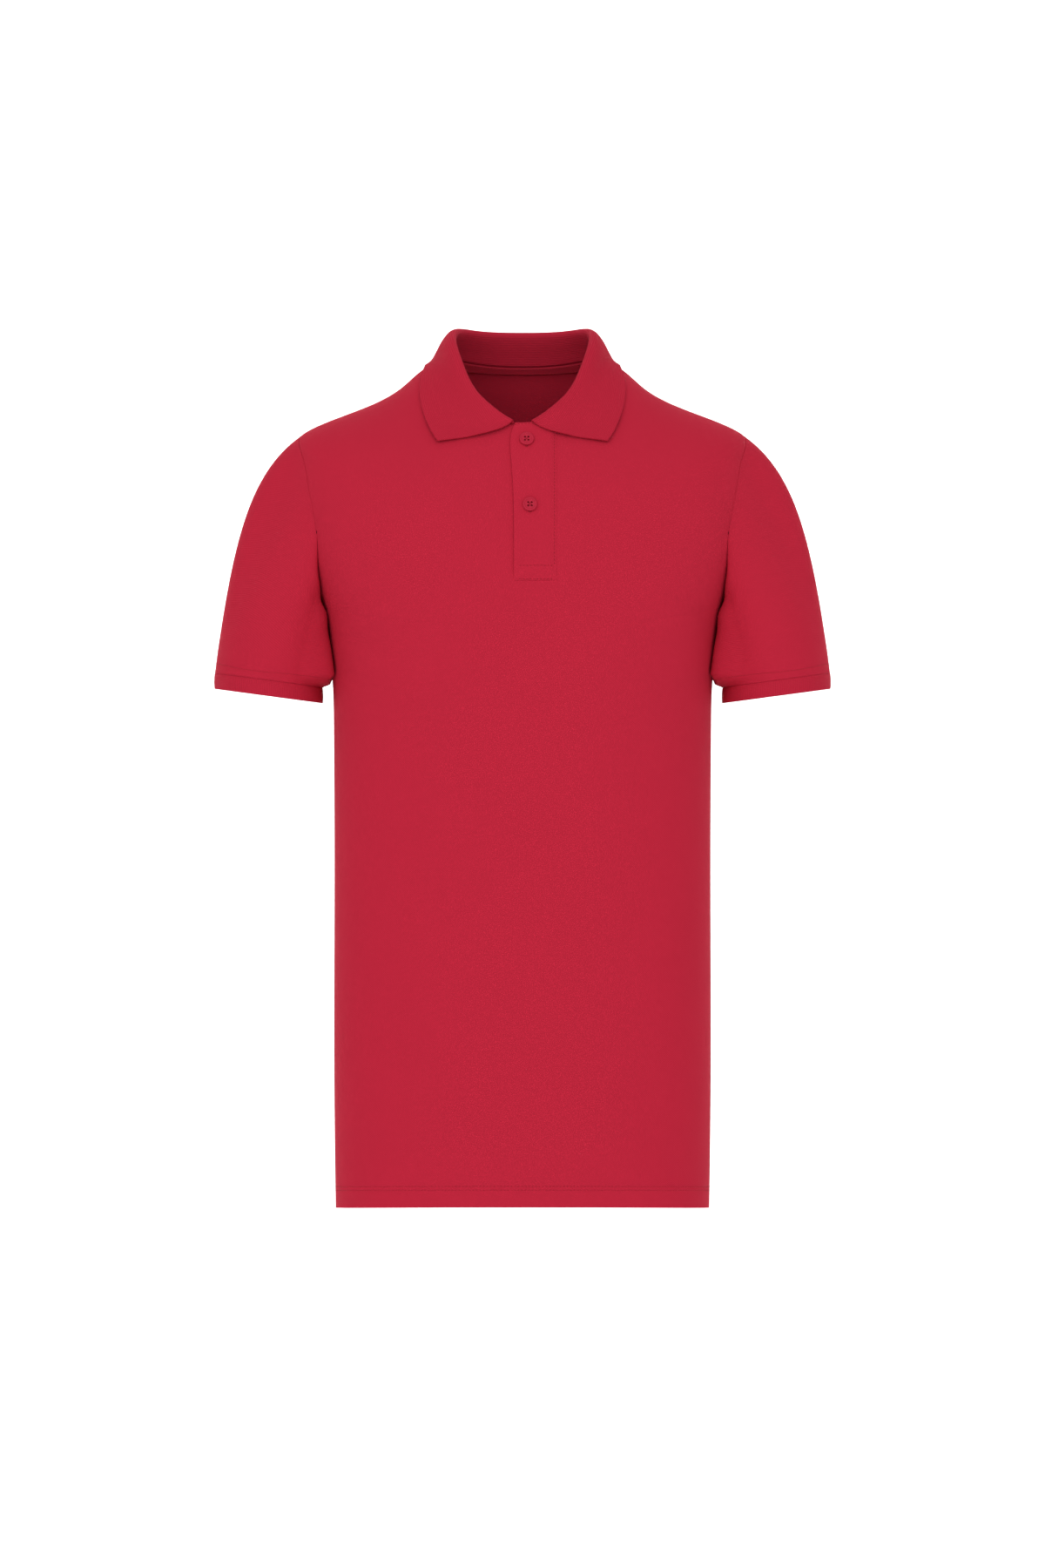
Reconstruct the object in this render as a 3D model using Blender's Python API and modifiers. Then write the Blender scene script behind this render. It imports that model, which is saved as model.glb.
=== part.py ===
"""Polo shirt in pique knit, filled out as if worn, with no wearer.

The origin is at the base of the neck, level with the neck points of the shoulders. +Z is up, the
front faces -Y and +X is the photo's right. Tables and sizes are in millimetres, and meshes are in metres.

The body is one smooth form: a pile of closed rings, each named by its height at the side. Every ring
is a rounded oval in plan, and rises or falls from its side towards the middle of the front and back.
Panels, plackets, tape and the collar's outer edge are all read from that form.
"""

import math

import bmesh
import bpy
import numpy as np
from mathutils import Matrix, Vector

MM = 0.001

# Cloth and seams
PIQUE = 1.2
HEM_PLY = 2.4
RIB_KNIT = 1.7
PLACKET_PLY = 1.5
TAPE_PLY = 1.0
SEAM_GAP = 0.35
ARMHOLE_GAP = 0.7
HEM_DEPTH = 15.0
HEM_STEP = 1.5

# The body's rings, from the hem to the neck. Front and back are the depths from the side seams.
RING_COLUMNS = ("side_z", "side_x", "front_y", "front_z", "back_y", "back_z", "roundness")
RINGS = (
    (-721.0, 160.9, 114.0, -720.0, 105.0, -721.0, 2.50),
    (-620.0, 162.1, 116.0, -619.5, 107.0, -620.0, 2.50),
    (-500.0, 162.1, 115.0, -500.0, 103.0, -500.0, 2.45),
    (-390.0, 162.0, 116.0, -391.0, 101.0, -389.0, 2.40),
    (-310.0, 162.5, 119.0, -313.0, 105.0, -308.0, 2.40),
    (-270.0, 163.5, 121.0, -275.0, 108.0, -268.0, 2.40),
    (-240.0, 166.4, 122.5, -248.0, 110.5, -240.0, 2.45),
    (-205.0, 172.5, 123.0, -220.0, 112.0, -209.0, 2.50),
    (-168.0, 185.0, 122.0, -193.0, 112.0, -175.0, 2.50),
    (-131.0, 192.0, 120.0, -168.0, 111.0, -142.0, 2.50),
    (-93.0, 196.0, 116.0, -142.0, 107.0, -110.0, 2.45),
    (-70.0, 195.0, 112.0, -124.0, 102.5, -89.0, 2.35),
    (-57.0, 191.2, 108.5, -112.0, 98.5, -76.0, 2.30),
    (-44.3, 167.2, 103.0, -97.0, 92.5, -58.0, 2.25),
    (-30.3, 131.0, 96.5, -82.0, 84.0, -38.0, 2.20),
    (-17.3, 107.0, 90.0, -69.5, 76.0, -21.5, 2.15),
    (-2.7, 90.0, 84.0, -58.5, 69.0, -8.0, 2.12),
    (12.0, 69.0, 78.0, -47.5, 61.0, 3.0, 2.10),
)
HEM_Z = -721.0
NECK_Z = 12.0
UNDERARM_Z = -205.0
SHOULDER_TIP_Z = -57.0
ARMHOLE_HALF_DEPTH = 60.0
ARMHOLE_STEPS = 12
WAIST_Z = -290.0

# Placket: a slot in the front, filled by the under strip and covered by the upper one
SLOT_LEFT = -5.5
SLOT_RIGHT = 27.0
SLOT_FOOT_Z = -179.0
PLACKET_FOOT_Z = -181.5
PLACKET_TOP = 0.3
PLACKET_RIGHT = 29.5
PLACKET_OUT = PLACKET_PLY + 0.45
PLACKET_EDGE_COLUMNS = ("z", "x")
PLACKET_EDGE = (
    (-182.0, -7.4),
    (-140.0, -7.4),
    (-110.0, -7.8),
    (-85.0, -9.2),
    (-68.0, -10.4),
    (-56.0, -9.6),
    (-46.0, -6.0),
)

# Buttons: turned discs with a raised rim and four holes
BUTTON_RADIUS = 6.3
BUTTON_THICKNESS = 2.4
BUTTON_DISH = 0.7
BUTTON_RIM = 1.5
BUTTON_HOLE_RADIUS = 0.9
BUTTON_HOLE_SPACING = 2.1
BUTTON_COLUMNS = ("name", "x", "z")
BUTTONS = (("button_1", 3.6, -61.1), ("button_2", 6.4, -116.8))

# Sleeve: lines from the armhole to the cuff seam, with the way each leaves and arrives
SLEEVE_STEPS = 11
SLEEVE_LINE_COLUMNS = ("line", "start_x", "start_y", "start_z", "end_x", "end_y", "end_z")
SLEEVE_LINES = (
    ("top", -147.0, 0.0, -103.0, -44.0, 0.0, -300.0),
    ("front", -40.0, -26.0, -85.0, -14.0, 6.0, -150.0),
    ("under", 7.0, 0.0, -65.0, -18.0, 0.0, -62.0),
    ("back", -40.0, 26.0, -85.0, -14.0, -6.0, -150.0),
)
CUFF_SEAM_CENTRE = (-218.6, 2.0, -267.0)
CUFF_SEAM_HALF = (46.8, 60.0)
CUFF_EDGE_CENTRE = (-218.6, 2.0, -280.6)
CUFF_EDGE_HALF = (47.0, 60.0)
CUFF_TILT = 7.6
CUFF_ROUNDNESS = 2.15
# The sleeve's seam line stands this far outside the body's corner under the arm
UNDERARM_OUT = 0.45
# The sleeve's inner side is drawn to this distance off the body, from turn to turn and share to share
ARM_LIFT = 1.5
ARM_TURNS = (34.0, 62.0)
ARM_RISE = (0.05, 0.3)
ARM_TUCK = (0.88, 1.0)
# The sleeve blouses over the cuff, most on the side of the body
BLOUSE_COLUMNS = ("line", "out")
BLOUSE = (("top", 0.3), ("front", 2.0), ("under", 5.0), ("back", 2.0))
BLOUSE_RISE = (0.45, 0.9)
BLOUSE_TUCK = (0.93, 1.0)

# Collar, one half, from its front end round to the middle of the back. The seam is an angle on the
# neck ring (90 front, 0 side, -90 back), and so is the outer edge, on the ring of the given height.
# Roll is the fold's radius, and turn how far round it goes before the leaf falls away.
# `roll` and `turn` are the fold's radius and angle, `leave` is how strongly the leaf keeps on in the
# fold's direction, and `slope` is how far its edge turns down along the body
COLLAR_COLUMNS = (
    "along", "seam_angle", "fold_x", "fold_y", "fold_z", "roll", "turn", "leave", "slope", "edge_ring_z",
    "edge_angle",
)
COLLAR = (
    (0.00, 84.5, -10.0, -81.5, -44.0, 2.1, 124.0, 1.60, -0.20, -27.6, 56.4),
    (0.10, 67.3, -28.0, -75.5, -31.0, 2.3, 138.0, 1.00, 0.10, -18.6, 41.0),
    (0.20, 52.1, -41.0, -63.5, -17.5, 2.6, 150.0, 0.75, 0.60, -6.8, 22.5),
    (0.35, 30.6, -53.3, -41.5, 8.5, 2.9, 152.0, 0.70, 1.00, 2.6, 4.0),
    (0.50, 7.6, -59.2, -13.5, 28.2, 3.0, 145.0, 0.70, 1.00, 0.3, -16.0),
    (0.62, -14.0, -56.2, 11.0, 34.6, 3.1, 142.0, 0.70, 1.00, -4.0, -32.0),
    (0.80, -51.0, -36.5, 41.0, 33.2, 3.1, 142.0, 0.70, 1.00, -10.0, -58.0),
    (1.00, -90.0, 0.0, 54.0, 32.0, 3.1, 142.0, 0.70, 1.00, -14.0, -90.0),
)
LEAF_ARRIVE = 0.8
LEAF_LIFT = 1.9
LEAF_LIFT_OVER_PLACKET = 3.2
TIP_LIFT = 1.2
PLACKET_REACH = (33.0, 52.0)
COLLAR_HALF_STEPS = 19
STAND_STEPS = 3
ROLL_STEPS = 5
LEAF_STEPS = 7
# The part of the body that a leaf can lie on, and how softly it is pushed clear
LEAF_GROUND_Z = -72.0
LEAF_SOFTNESS = 0.5

TAPE_HALF_ANGLE = 66.0
TAPE_DEPTH = 8.0
EDGE_STRIP = 2.5

CRIMSON = (0.491, 0.020, 0.041, 1.0)
CRIMSON_RIB = (0.440, 0.018, 0.036, 1.0)
CRIMSON_BUTTON = (0.540, 0.028, 0.050, 1.0)


# ---------------------------------------------------------------- curves


def smooth(knots, values, at):
    """Natural cubic spline through (knots, values), read at `at`."""
    knots = np.asarray(knots, float)
    values = np.asarray(values, float)
    at = np.asarray(at, float)
    gap = np.diff(knots)
    slope = np.diff(values) / gap
    count = len(knots)
    system = np.eye(count)
    target = np.zeros(count)
    for i in range(1, count - 1):
        system[i, i - 1 : i + 2] = gap[i - 1], 2 * (gap[i - 1] + gap[i]), gap[i]
        target[i] = 6 * (slope[i] - slope[i - 1])
    bend = np.linalg.solve(system, target)
    k = np.clip(np.searchsorted(knots, at, side="right") - 1, 0, count - 2)
    left = at - knots[k]
    right = knots[k + 1] - at
    wide = gap[k]
    return (
        (bend[k] * right**3 + bend[k + 1] * left**3) / (6 * wide)
        + (values[k] / wide - bend[k] * wide / 6) * right
        + (values[k + 1] / wide - bend[k + 1] * wide / 6) * left
    )


def column(table, names, name):
    return np.array([row[names.index(name)] for row in table])


def hermite(start, end, leave, arrive, share):
    """Cubic curve between two points with given end tangents, at shares 0 to 1 of its run."""
    s = np.asarray(share, float)[..., None]
    return (
        (2 * s**3 - 3 * s**2 + 1) * start
        + (s**3 - 2 * s**2 + s) * leave
        + (3 * s**2 - 2 * s**3) * end
        + (s**3 - s**2) * arrive
    )


def smooth_step(low, high, value):
    share = np.clip((value - low) / (high - low), 0, 1)
    return share * share * (3 - 2 * share)


def unit(vectors):
    return vectors / np.linalg.norm(vectors, axis=-1, keepdims=True)


# ---------------------------------------------------------------- the body's form


def ring(side_z):
    """Every column of the ring table at the given side heights, by name."""
    knots = column(RINGS, RING_COLUMNS, "side_z")
    return {name: smooth(knots, column(RINGS, RING_COLUMNS, name), side_z) for name in RING_COLUMNS[1:]}


def form(side_z, angle):
    """Points of the body. The angle runs from -180 to 180: 0 is the photo's right side, 90 the middle
    of the front, 180 the left side, and -90 the middle of the back."""
    side_z, angle = np.broadcast_arrays(np.asarray(side_z, float), np.radians(angle))
    size = ring(side_z)
    power = 2 / size["roundness"]
    front = angle >= 0
    across = np.sign(np.cos(angle)) * np.abs(np.cos(angle)) ** power
    deep = np.abs(np.sin(angle)) ** power
    x = size["side_x"] * across
    y = np.where(front, -size["front_y"], size["back_y"]) * deep
    middle_z = np.where(front, size["front_z"], size["back_z"])
    z = side_z + (middle_z - side_z) * np.sin(angle) ** 2
    return np.stack([x, y, z], axis=-1)


def form_normal(side_z, angle):
    """Unit normals of the body, outwards, from small steps along and across the rings."""
    step = 0.4
    angle = np.asarray(angle, float)
    side_z = np.asarray(side_z, float)
    inside = np.clip(angle, -179.0, 179.0)
    inside = np.where(np.abs(inside) < 1.0, np.where(angle < 0, -1.0, 1.0), inside)
    up = np.clip(side_z + step, None, NECK_Z)
    down = np.clip(side_z - step, HEM_Z, None)
    around = form(side_z, inside + step) - form(side_z, inside - step)
    rise = form(up, inside) - form(down, inside)
    return unit(np.cross(rise, around))


def angle_at_x(side_z, x, front=True):
    """The angle at which a ring passes the given x."""
    size = ring(side_z)
    share = np.clip(np.abs(x) / size["side_x"], 0, 1)
    angle = np.degrees(np.arccos(share ** (size["roundness"] / 2)))
    angle = np.where(np.asarray(x) < 0, 180 - angle, angle)
    return angle if front else -angle


def angle_at_depth(side_z, depth, front=True):
    """The angle, measured from the side, at which a ring is `depth` in front of or behind it."""
    size = ring(side_z)
    full = size["front_y"] if front else size["back_y"]
    share = np.clip(depth / full, 0, 1)
    return np.degrees(np.arcsin(share ** (size["roundness"] / 2)))


def spread(side_z, start, end, count, strip_first=False, strip_last=False):
    """Angles from start to end on one ring, at equal distances along it, with a narrow strip first or
    last where that end is a seam."""
    fine = start + (end - start) * (1 - np.cos(np.linspace(0, math.pi, 181))) / 2
    points = form(side_z, fine)
    run = np.concatenate([[0], np.cumsum(np.linalg.norm(np.diff(points, axis=0), axis=1))])
    first = EDGE_STRIP if strip_first else 0.0
    last = run[-1] - (EDGE_STRIP if strip_last else 0.0)
    stops = np.linspace(first, last, count + 1)
    stops = np.concatenate([[0.0]] * strip_first + [stops] + [[run[-1]]] * strip_last)
    return np.interp(stops, run, fine)


def armhole_turns():
    """Angles round the armhole from its top to the underarm, one of them at the slot's foot."""
    turns = np.linspace(0, 180, ARMHOLE_STEPS + 1)
    heights = UNDERARM_Z + (SHOULDER_TIP_Z - UNDERARM_Z) * (1 + np.cos(np.radians(turns))) / 2
    front = ring(heights)["front_z"]
    nearest = int(np.argmin(np.abs(front - SLOT_FOOT_Z)))
    fine = np.linspace(0, 180, 1801)
    fine_z = UNDERARM_Z + (SHOULDER_TIP_Z - UNDERARM_Z) * (1 + np.cos(np.radians(fine))) / 2
    turns[nearest] = fine[np.argmin(np.abs(ring(fine_z)["front_z"] - SLOT_FOOT_Z))]
    return turns


def armhole(turns, inset):
    """Ring heights and angles from the side of the armhole's edge, and its front or back half.
    Turns run 0 at the shoulder, 90 in front, 180 under the arm and 270 behind."""
    turns = np.radians(turns)
    middle = (UNDERARM_Z + SHOULDER_TIP_Z) / 2
    half = (SHOULDER_TIP_Z - UNDERARM_Z) / 2 - inset
    side_z = middle + half * np.cos(turns)
    depth = (ARMHOLE_HALF_DEPTH - inset) * np.abs(np.sin(turns))
    front = np.sin(turns) > -1e-9
    from_side = np.where(front, angle_at_depth(side_z, depth), angle_at_depth(side_z, depth, front=False))
    return side_z, from_side, front


# ---------------------------------------------------------------- meshes


def collection(name):
    made = bpy.data.collections.new(name)
    bpy.context.scene.collection.children.link(made)
    return made


def material(name, colour, roughness):
    made = bpy.data.materials.new(name)
    made.use_nodes = True
    shader = made.node_tree.nodes["Principled BSDF"]
    shader.inputs["Base Color"].default_value = colour
    shader.inputs["Roughness"].default_value = roughness
    shader.inputs["Metallic"].default_value = 0.0
    return made


def sheet_object(name, grid, colour, parts, wall, closed=False, flip=False, open_cells=None, thick_rows=0):
    """A sheet through a grid of points, given its wall inwards by Solidify. Rows in `thick_rows`
    from the first are at the full wall, and the rest at the pique's."""
    rows, across = grid.shape[:2]
    mesh = bpy.data.meshes.new(name)
    faces = []
    for j in range(rows - 1):
        for i in range(across if closed else across - 1):
            if open_cells is not None and open_cells[j, i]:
                continue
            k = (i + 1) % across
            face = (j * across + i, j * across + k, (j + 1) * across + k, (j + 1) * across + i)
            faces.append(face[::-1] if flip else face)
    mesh.from_pydata((grid.reshape(-1, 3) * MM).tolist(), [], faces)
    shape = bmesh.new()
    shape.from_mesh(mesh)
    loose = [v for v in shape.verts if not v.link_faces]
    bmesh.ops.delete(shape, geom=loose, context="VERTS")
    shape.to_mesh(mesh)
    shape.free()
    made = bpy.data.objects.new(name, mesh)
    parts.objects.link(made)
    made.data.materials.append(material(name, *colour))
    solid = made.modifiers.new("wall", "SOLIDIFY")
    solid.thickness = wall * MM
    solid.offset = -1.0
    if thick_rows:
        group = made.vertex_groups.new(name="hem")
        group.add(list(range(thick_rows * across)), 1.0, "REPLACE")
        solid.vertex_group = group.name
        solid.thickness_vertex_group = PIQUE / wall
    mesh.shade_smooth()
    mesh.set_sharp_from_angle(angle=math.radians(50))
    return made


# ---------------------------------------------------------------- panels


def body_rows():
    """Ring heights of the panels' rows: hem, sides, armhole and shoulder."""
    hem = np.array([HEM_Z, HEM_Z + HEM_DEPTH, HEM_Z + HEM_DEPTH + HEM_STEP])
    side = np.linspace(hem[-1], WAIST_Z, 8)[1:]
    waist = np.linspace(WAIST_Z, UNDERARM_Z, 5)[1:-1]
    arm = armhole(armhole_turns(), 0.0)[0][::-1]
    shoulder = np.linspace(SHOULDER_TIP_Z, NECK_Z, 7)[1:]
    return np.concatenate([hem, side, waist, arm, shoulder])


def side_angle(side_z, front):
    """How far a panel's edge stands from the side: half the seam's gap, or the armhole's edge."""
    seam = angle_at_depth(side_z, SEAM_GAP / 2, front)
    height = (SHOULDER_TIP_Z - UNDERARM_Z) / 2
    middle = (UNDERARM_Z + SHOULDER_TIP_Z) / 2
    share = np.clip(1 - ((side_z - middle) / height) ** 2, 0, 1)
    bite = angle_at_depth(side_z, ARMHOLE_HALF_DEPTH * np.sqrt(share), front)
    return np.maximum(seam, bite)


def front_panel(parts):
    outer, slot = 10, 3
    rows = body_rows()
    angles = []
    for side_z in rows:
        edge = float(side_angle(side_z, True))
        left = float(angle_at_x(side_z, SLOT_LEFT))
        right = float(angle_at_x(side_z, SLOT_RIGHT))
        angles.append(
            np.concatenate(
                [
                    spread(side_z, 180 - edge, left, outer - 1, strip_first=True),
                    spread(side_z, left, right, slot)[1:],
                    spread(side_z, right, edge, outer - 1, strip_last=True)[1:],
                ]
            )
        )
    grid = form(rows[:, None], np.array(angles))
    cells = np.zeros((len(rows) - 1, 2 * outer + slot), bool)
    foot = int(np.argmin(np.abs(ring(rows)["front_z"] - SLOT_FOOT_Z)))
    cells[foot:, outer : outer + slot] = True
    look = (CRIMSON, 0.85)
    return sheet_object("front_panel", grid, look, parts, HEM_PLY, open_cells=cells, thick_rows=2)


def back_panel(parts):
    rows = body_rows()
    angles = []
    for side_z in rows:
        edge = float(side_angle(side_z, False))
        angles.append(spread(side_z, -edge, edge - 180, 21, True, True))
    grid = form(rows[:, None], np.array(angles))
    return sheet_object("back_panel", grid, (CRIMSON, 0.85), parts, HEM_PLY, thick_rows=2)


# ---------------------------------------------------------------- sleeves and cuffs


def round_turns():
    """Angles all round the armhole, the back half a copy of the front one."""
    front = armhole_turns()
    return np.concatenate([front, 360 - front[-2:0:-1]])


def sleeve_root(turns):
    """Points of the sleeve's head, just inside the armhole, and the body's normals there."""
    side_z, from_side, front = armhole(turns, ARMHOLE_GAP)
    angle = np.where(front, 180 - from_side, from_side - 180)
    return form(side_z, angle), form_normal(side_z, angle)


def cuff_ring(centre, half, turns, tuck=0.0):
    """A tilted oval round the arm, for a cuff's seam or edge."""
    turns = np.radians(turns)
    power = 2 / CUFF_ROUNDNESS
    outward = np.sign(np.cos(turns)) * np.abs(np.cos(turns)) ** power * (half[0] - tuck)
    forward = np.sign(np.sin(turns)) * np.abs(np.sin(turns)) ** power * (half[1] - tuck)
    tilt = math.radians(CUFF_TILT)
    return np.stack(
        [
            centre[0] - outward * math.cos(tilt),
            centre[1] - forward,
            centre[2] + outward * math.sin(tilt),
        ],
        axis=-1,
    )


def round_sleeve(turns, table, columns, names):
    """Values round the sleeve, blended from the named lines by squared cosines and sines."""
    turns = np.radians(turns)
    cos, sin = np.cos(turns), np.sin(turns)
    weights = {
        "top": np.clip(cos, 0, 1) ** 2,
        "under": np.clip(-cos, 0, 1) ** 2,
        "front": np.clip(sin, 0, 1) ** 2,
        "back": np.clip(-sin, 0, 1) ** 2,
    }
    ways = np.stack([column(table, columns, name) for name in names], axis=-1)
    return sum(weights[row[0]][:, None] * way.astype(float) for row, way in zip(table, ways))


def sleeve_rows():
    """Shares of a sleeve's length, closer where it tucks into the cuff."""
    return np.concatenate([np.linspace(0, BLOUSE_TUCK[0], SLEEVE_STEPS), [0.96, 0.985, 1.0]])


def against_side(points, turns, share):
    """Points drawn sideways to lie ARM_LIFT off the body's side, over the sleeve's inner part. The ring
    through each point's depth and height is found by a few steps of correction."""
    front = points[..., 1] <= 0
    depth, height = np.abs(points[..., 1]), points[..., 2]
    side_z = height
    for _ in range(6):
        size = ring(side_z)
        angle = np.where(front, angle_at_depth(side_z, depth, True), angle_at_depth(side_z, depth, False))
        middle_z = np.where(front, size["front_z"], size["back_z"])
        side_z = height - (middle_z - side_z) * np.sin(np.radians(angle)) ** 2
    size = ring(side_z)
    body_x = -size["side_x"] * np.cos(np.radians(angle)) ** (2 / size["roundness"])
    near = 1 - smooth_step(*ARM_TURNS, np.abs(turns - 180))
    near = near * smooth_step(*ARM_RISE, share) * (1 - smooth_step(*ARM_TUCK, share))
    draw = near * np.clip(body_x - ARM_LIFT - points[..., 0], 0, None)
    return points + draw[..., None] * np.array([1.0, 0.0, 0.0])


def sleeve_grid():
    turns = round_turns()
    leave = round_sleeve(turns, SLEEVE_LINES, SLEEVE_LINE_COLUMNS, ("start_x", "start_y", "start_z"))
    arrive = round_sleeve(turns, SLEEVE_LINES, SLEEVE_LINE_COLUMNS, ("end_x", "end_y", "end_z"))
    start, normals = sleeve_root(turns)
    above = np.clip(np.cos(np.radians(turns)), 0, 1)
    below = np.clip(-np.cos(np.radians(turns)), 0, 1)
    flat = 1 - above**6 - below**3
    leave = leave - normals * (np.sum(leave * normals, axis=1) * flat)[:, None]
    start[:, 0] -= UNDERARM_OUT * below**8
    end = cuff_ring(CUFF_SEAM_CENTRE, CUFF_SEAM_HALF, turns)
    share = sleeve_rows()[:, None] * np.ones(len(turns))
    out = round_sleeve(turns, BLOUSE, BLOUSE_COLUMNS, ("out",))[:, 0]
    swell = out * smooth_step(*BLOUSE_RISE, share) * (1 - smooth_step(*BLOUSE_TUCK, share))
    outward = unit(end - np.array(CUFF_SEAM_CENTRE))
    grid = hermite(start, end, leave, arrive, share) + outward * swell[..., None]
    return against_side(grid, turns, share)


def cuff_grid():
    turns = round_turns()
    seam = np.array(CUFF_SEAM_CENTRE)
    edge = np.array(CUFF_EDGE_CENTRE)
    way = unit(edge - seam)
    top = cuff_ring(seam + way * (SEAM_GAP + 0.1), CUFF_SEAM_HALF, turns)
    middle = cuff_ring((seam + edge) / 2, CUFF_SEAM_HALF, turns)
    bottom = cuff_ring(edge, CUFF_EDGE_HALF, turns)
    return np.stack([top, middle, bottom])


def sleeves(parts):
    """Each sleeve and cuff, the right one the left one's mirror image."""
    made = []
    for side, mirror in (("left", 1.0), ("right", -1.0)):
        turn = np.array([mirror, 1.0, 1.0])
        flip = mirror > 0
        made.append(
            sheet_object("sleeve_" + side, sleeve_grid() * turn, (CRIMSON, 0.85), parts, PIQUE, True, flip)
        )
        made.append(
            sheet_object("cuff_" + side, cuff_grid() * turn, (CRIMSON_RIB, 0.9), parts, RIB_KNIT, True, flip)
        )
    return made


# ---------------------------------------------------------------- collar and tape


def collar_half(along):
    """Every column of the collar table, read along one half. The table is carried on past the middle
    of the back as its own mirror image, so that the curve runs smoothly through it."""
    knots = column(COLLAR, COLLAR_COLUMNS, "along")
    far = 2 - knots[-2::-1]
    read = {}
    for name in COLLAR_COLUMNS[1:]:
        values = column(COLLAR, COLLAR_COLUMNS, name)
        beyond = values[-2::-1]
        if name == "fold_x":
            beyond = -beyond
        if name in ("seam_angle", "edge_angle"):
            beyond = -180 - beyond
        read[name] = smooth(np.concatenate([knots, far]), np.concatenate([values, beyond]), along)
    return read


def from_left(angle):
    """An angle counted from the left side, as `form` counts it."""
    turned = 180 - angle
    return np.where(turned > 180, turned - 360, turned)


def laid(points, lift):
    """Points pushed out, where they come too near, to lie at least `lift` above the body."""
    side_z, angle = np.meshgrid(
        np.linspace(LEAF_GROUND_Z, NECK_Z, 40), np.arange(-179.0, 180.0, 2.0), indexing="ij"
    )
    ground = form(side_z, angle).reshape(-1, 3)
    normals = form_normal(side_z, angle).reshape(-1, 3)
    flat = points.reshape(-1, 3)
    nearest = np.array([np.argmin(np.sum((ground - p) ** 2, axis=1)) for p in flat])
    height = np.sum((flat - ground[nearest]) * normals[nearest], axis=1)
    short = np.clip((lift.reshape(-1) - height) / LEAF_SOFTNESS, -30, 30)
    push = LEAF_SOFTNESS * np.log1p(np.exp(short))
    return (flat + normals[nearest] * push[:, None]).reshape(points.shape)


def collar_profile(along):
    """Points of the strip's middle from the seam up the stand, over the roll and down the leaf."""
    read = collar_half(along)
    seam_angle = from_left(read["seam_angle"])
    edge_angle = from_left(read["edge_angle"])
    seam = form(NECK_Z, seam_angle)
    fold = np.stack([read["fold_x"], read["fold_y"], read["fold_z"]], axis=-1)
    edge = form(read["edge_ring_z"], edge_angle)
    edge = edge + form_normal(read["edge_ring_z"], edge_angle) * LEAF_LIFT
    inward = -form_normal(np.full_like(seam_angle, NECK_Z), seam_angle)
    beyond = unit(form(NECK_Z, seam_angle) - form(NECK_Z - 2.0, seam_angle))
    run = unit(np.gradient(fold, axis=0))
    up = fold - seam
    up = unit(up - run * np.sum(up * run, axis=-1, keepdims=True))
    in_line = np.sum(up * beyond, axis=-1, keepdims=True)
    clear = SEAM_GAP + 0.1 + RIB_KNIT / 2 * np.sqrt(np.clip(1 - in_line**2, 0, 1))
    seam = seam + beyond * clear + inward * PIQUE / 2
    out = unit(np.cross(up, run))
    roll = read["roll"][:, None]
    centre = fold - up * roll
    turn = np.radians(read["turn"][:, None] * np.linspace(0, 1, ROLL_STEPS + 1))[:, :, None]
    arc = centre[:, None] + roll[:, None] * (up[:, None] * np.sin(turn) - out[:, None] * np.cos(turn))
    rise = np.linalg.norm(arc[:, 0] - seam, axis=-1, keepdims=True)
    stand_share = np.linspace(0, 1, STAND_STEPS + 1)[None, :-1]
    stand = hermite(seam[:, None], arc[:, :1], (up * rise)[:, None], (up * rise)[:, None], stand_share)
    last = turn[:, -1]
    leave = up * np.cos(last) + out * np.sin(last)
    fall = np.linalg.norm(edge - arc[:, -1], axis=-1, keepdims=True)
    below = form(read["edge_ring_z"] - 2.0, edge_angle) - form(read["edge_ring_z"] + 2.0, edge_angle)
    arrive = unit(unit(below) * read["slope"][:, None] + unit(edge - arc[:, -1]))
    share = np.linspace(0, 1, LEAF_STEPS + 1)[None, 1:]
    leaf = hermite(
        arc[:, -1:],
        edge[:, None],
        (leave * fall * read["leave"][:, None])[:, None],
        (arrive * fall)[:, None] * LEAF_ARRIVE,
        share,
    )
    near_placket = (1 - smooth_step(*PLACKET_REACH, np.abs(leaf[..., 0]))) * (leaf[..., 1] < 0)
    from_tip = np.clip(np.minimum(along, 2 - along), 0, 1)[:, None]
    tip = TIP_LIFT * (1 - smooth_step(0.0, 0.22, from_tip)) * smooth_step(0.3, 1.0, share)
    lift = LEAF_LIFT + (LEAF_LIFT_OVER_PLACKET - LEAF_LIFT) * near_placket + tip * (1 - near_placket)
    return np.concatenate([stand, arc, laid(leaf, lift)], axis=1)


def collar(parts):
    along = np.linspace(0, 2, 2 * COLLAR_HALF_STEPS + 1)
    grid = collar_profile(along)
    grid = (grid + grid[::-1] * np.array([-1.0, 1.0, 1.0])) / 2
    made = sheet_object("collar", grid, (CRIMSON_RIB, 0.9), parts, RIB_KNIT)
    made.modifiers["wall"].offset = 0.0
    return made


def neck_tape(parts):
    """Tape over the back neck seam, on the inner face of the back."""
    down = NECK_Z - np.linspace(0.3, TAPE_DEPTH, 3)[::-1]
    angles = np.linspace(-90 + TAPE_HALF_ANGLE, -90 - TAPE_HALF_ANGLE, 21)
    side_z, angle = np.meshgrid(down, angles, indexing="ij")
    grid = form(side_z, angle) - form_normal(side_z, angle) * (PIQUE + SEAM_GAP)
    return sheet_object("neck_tape", grid, (CRIMSON_RIB, 0.8), parts, TAPE_PLY)


# ---------------------------------------------------------------- placket and buttons


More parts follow.
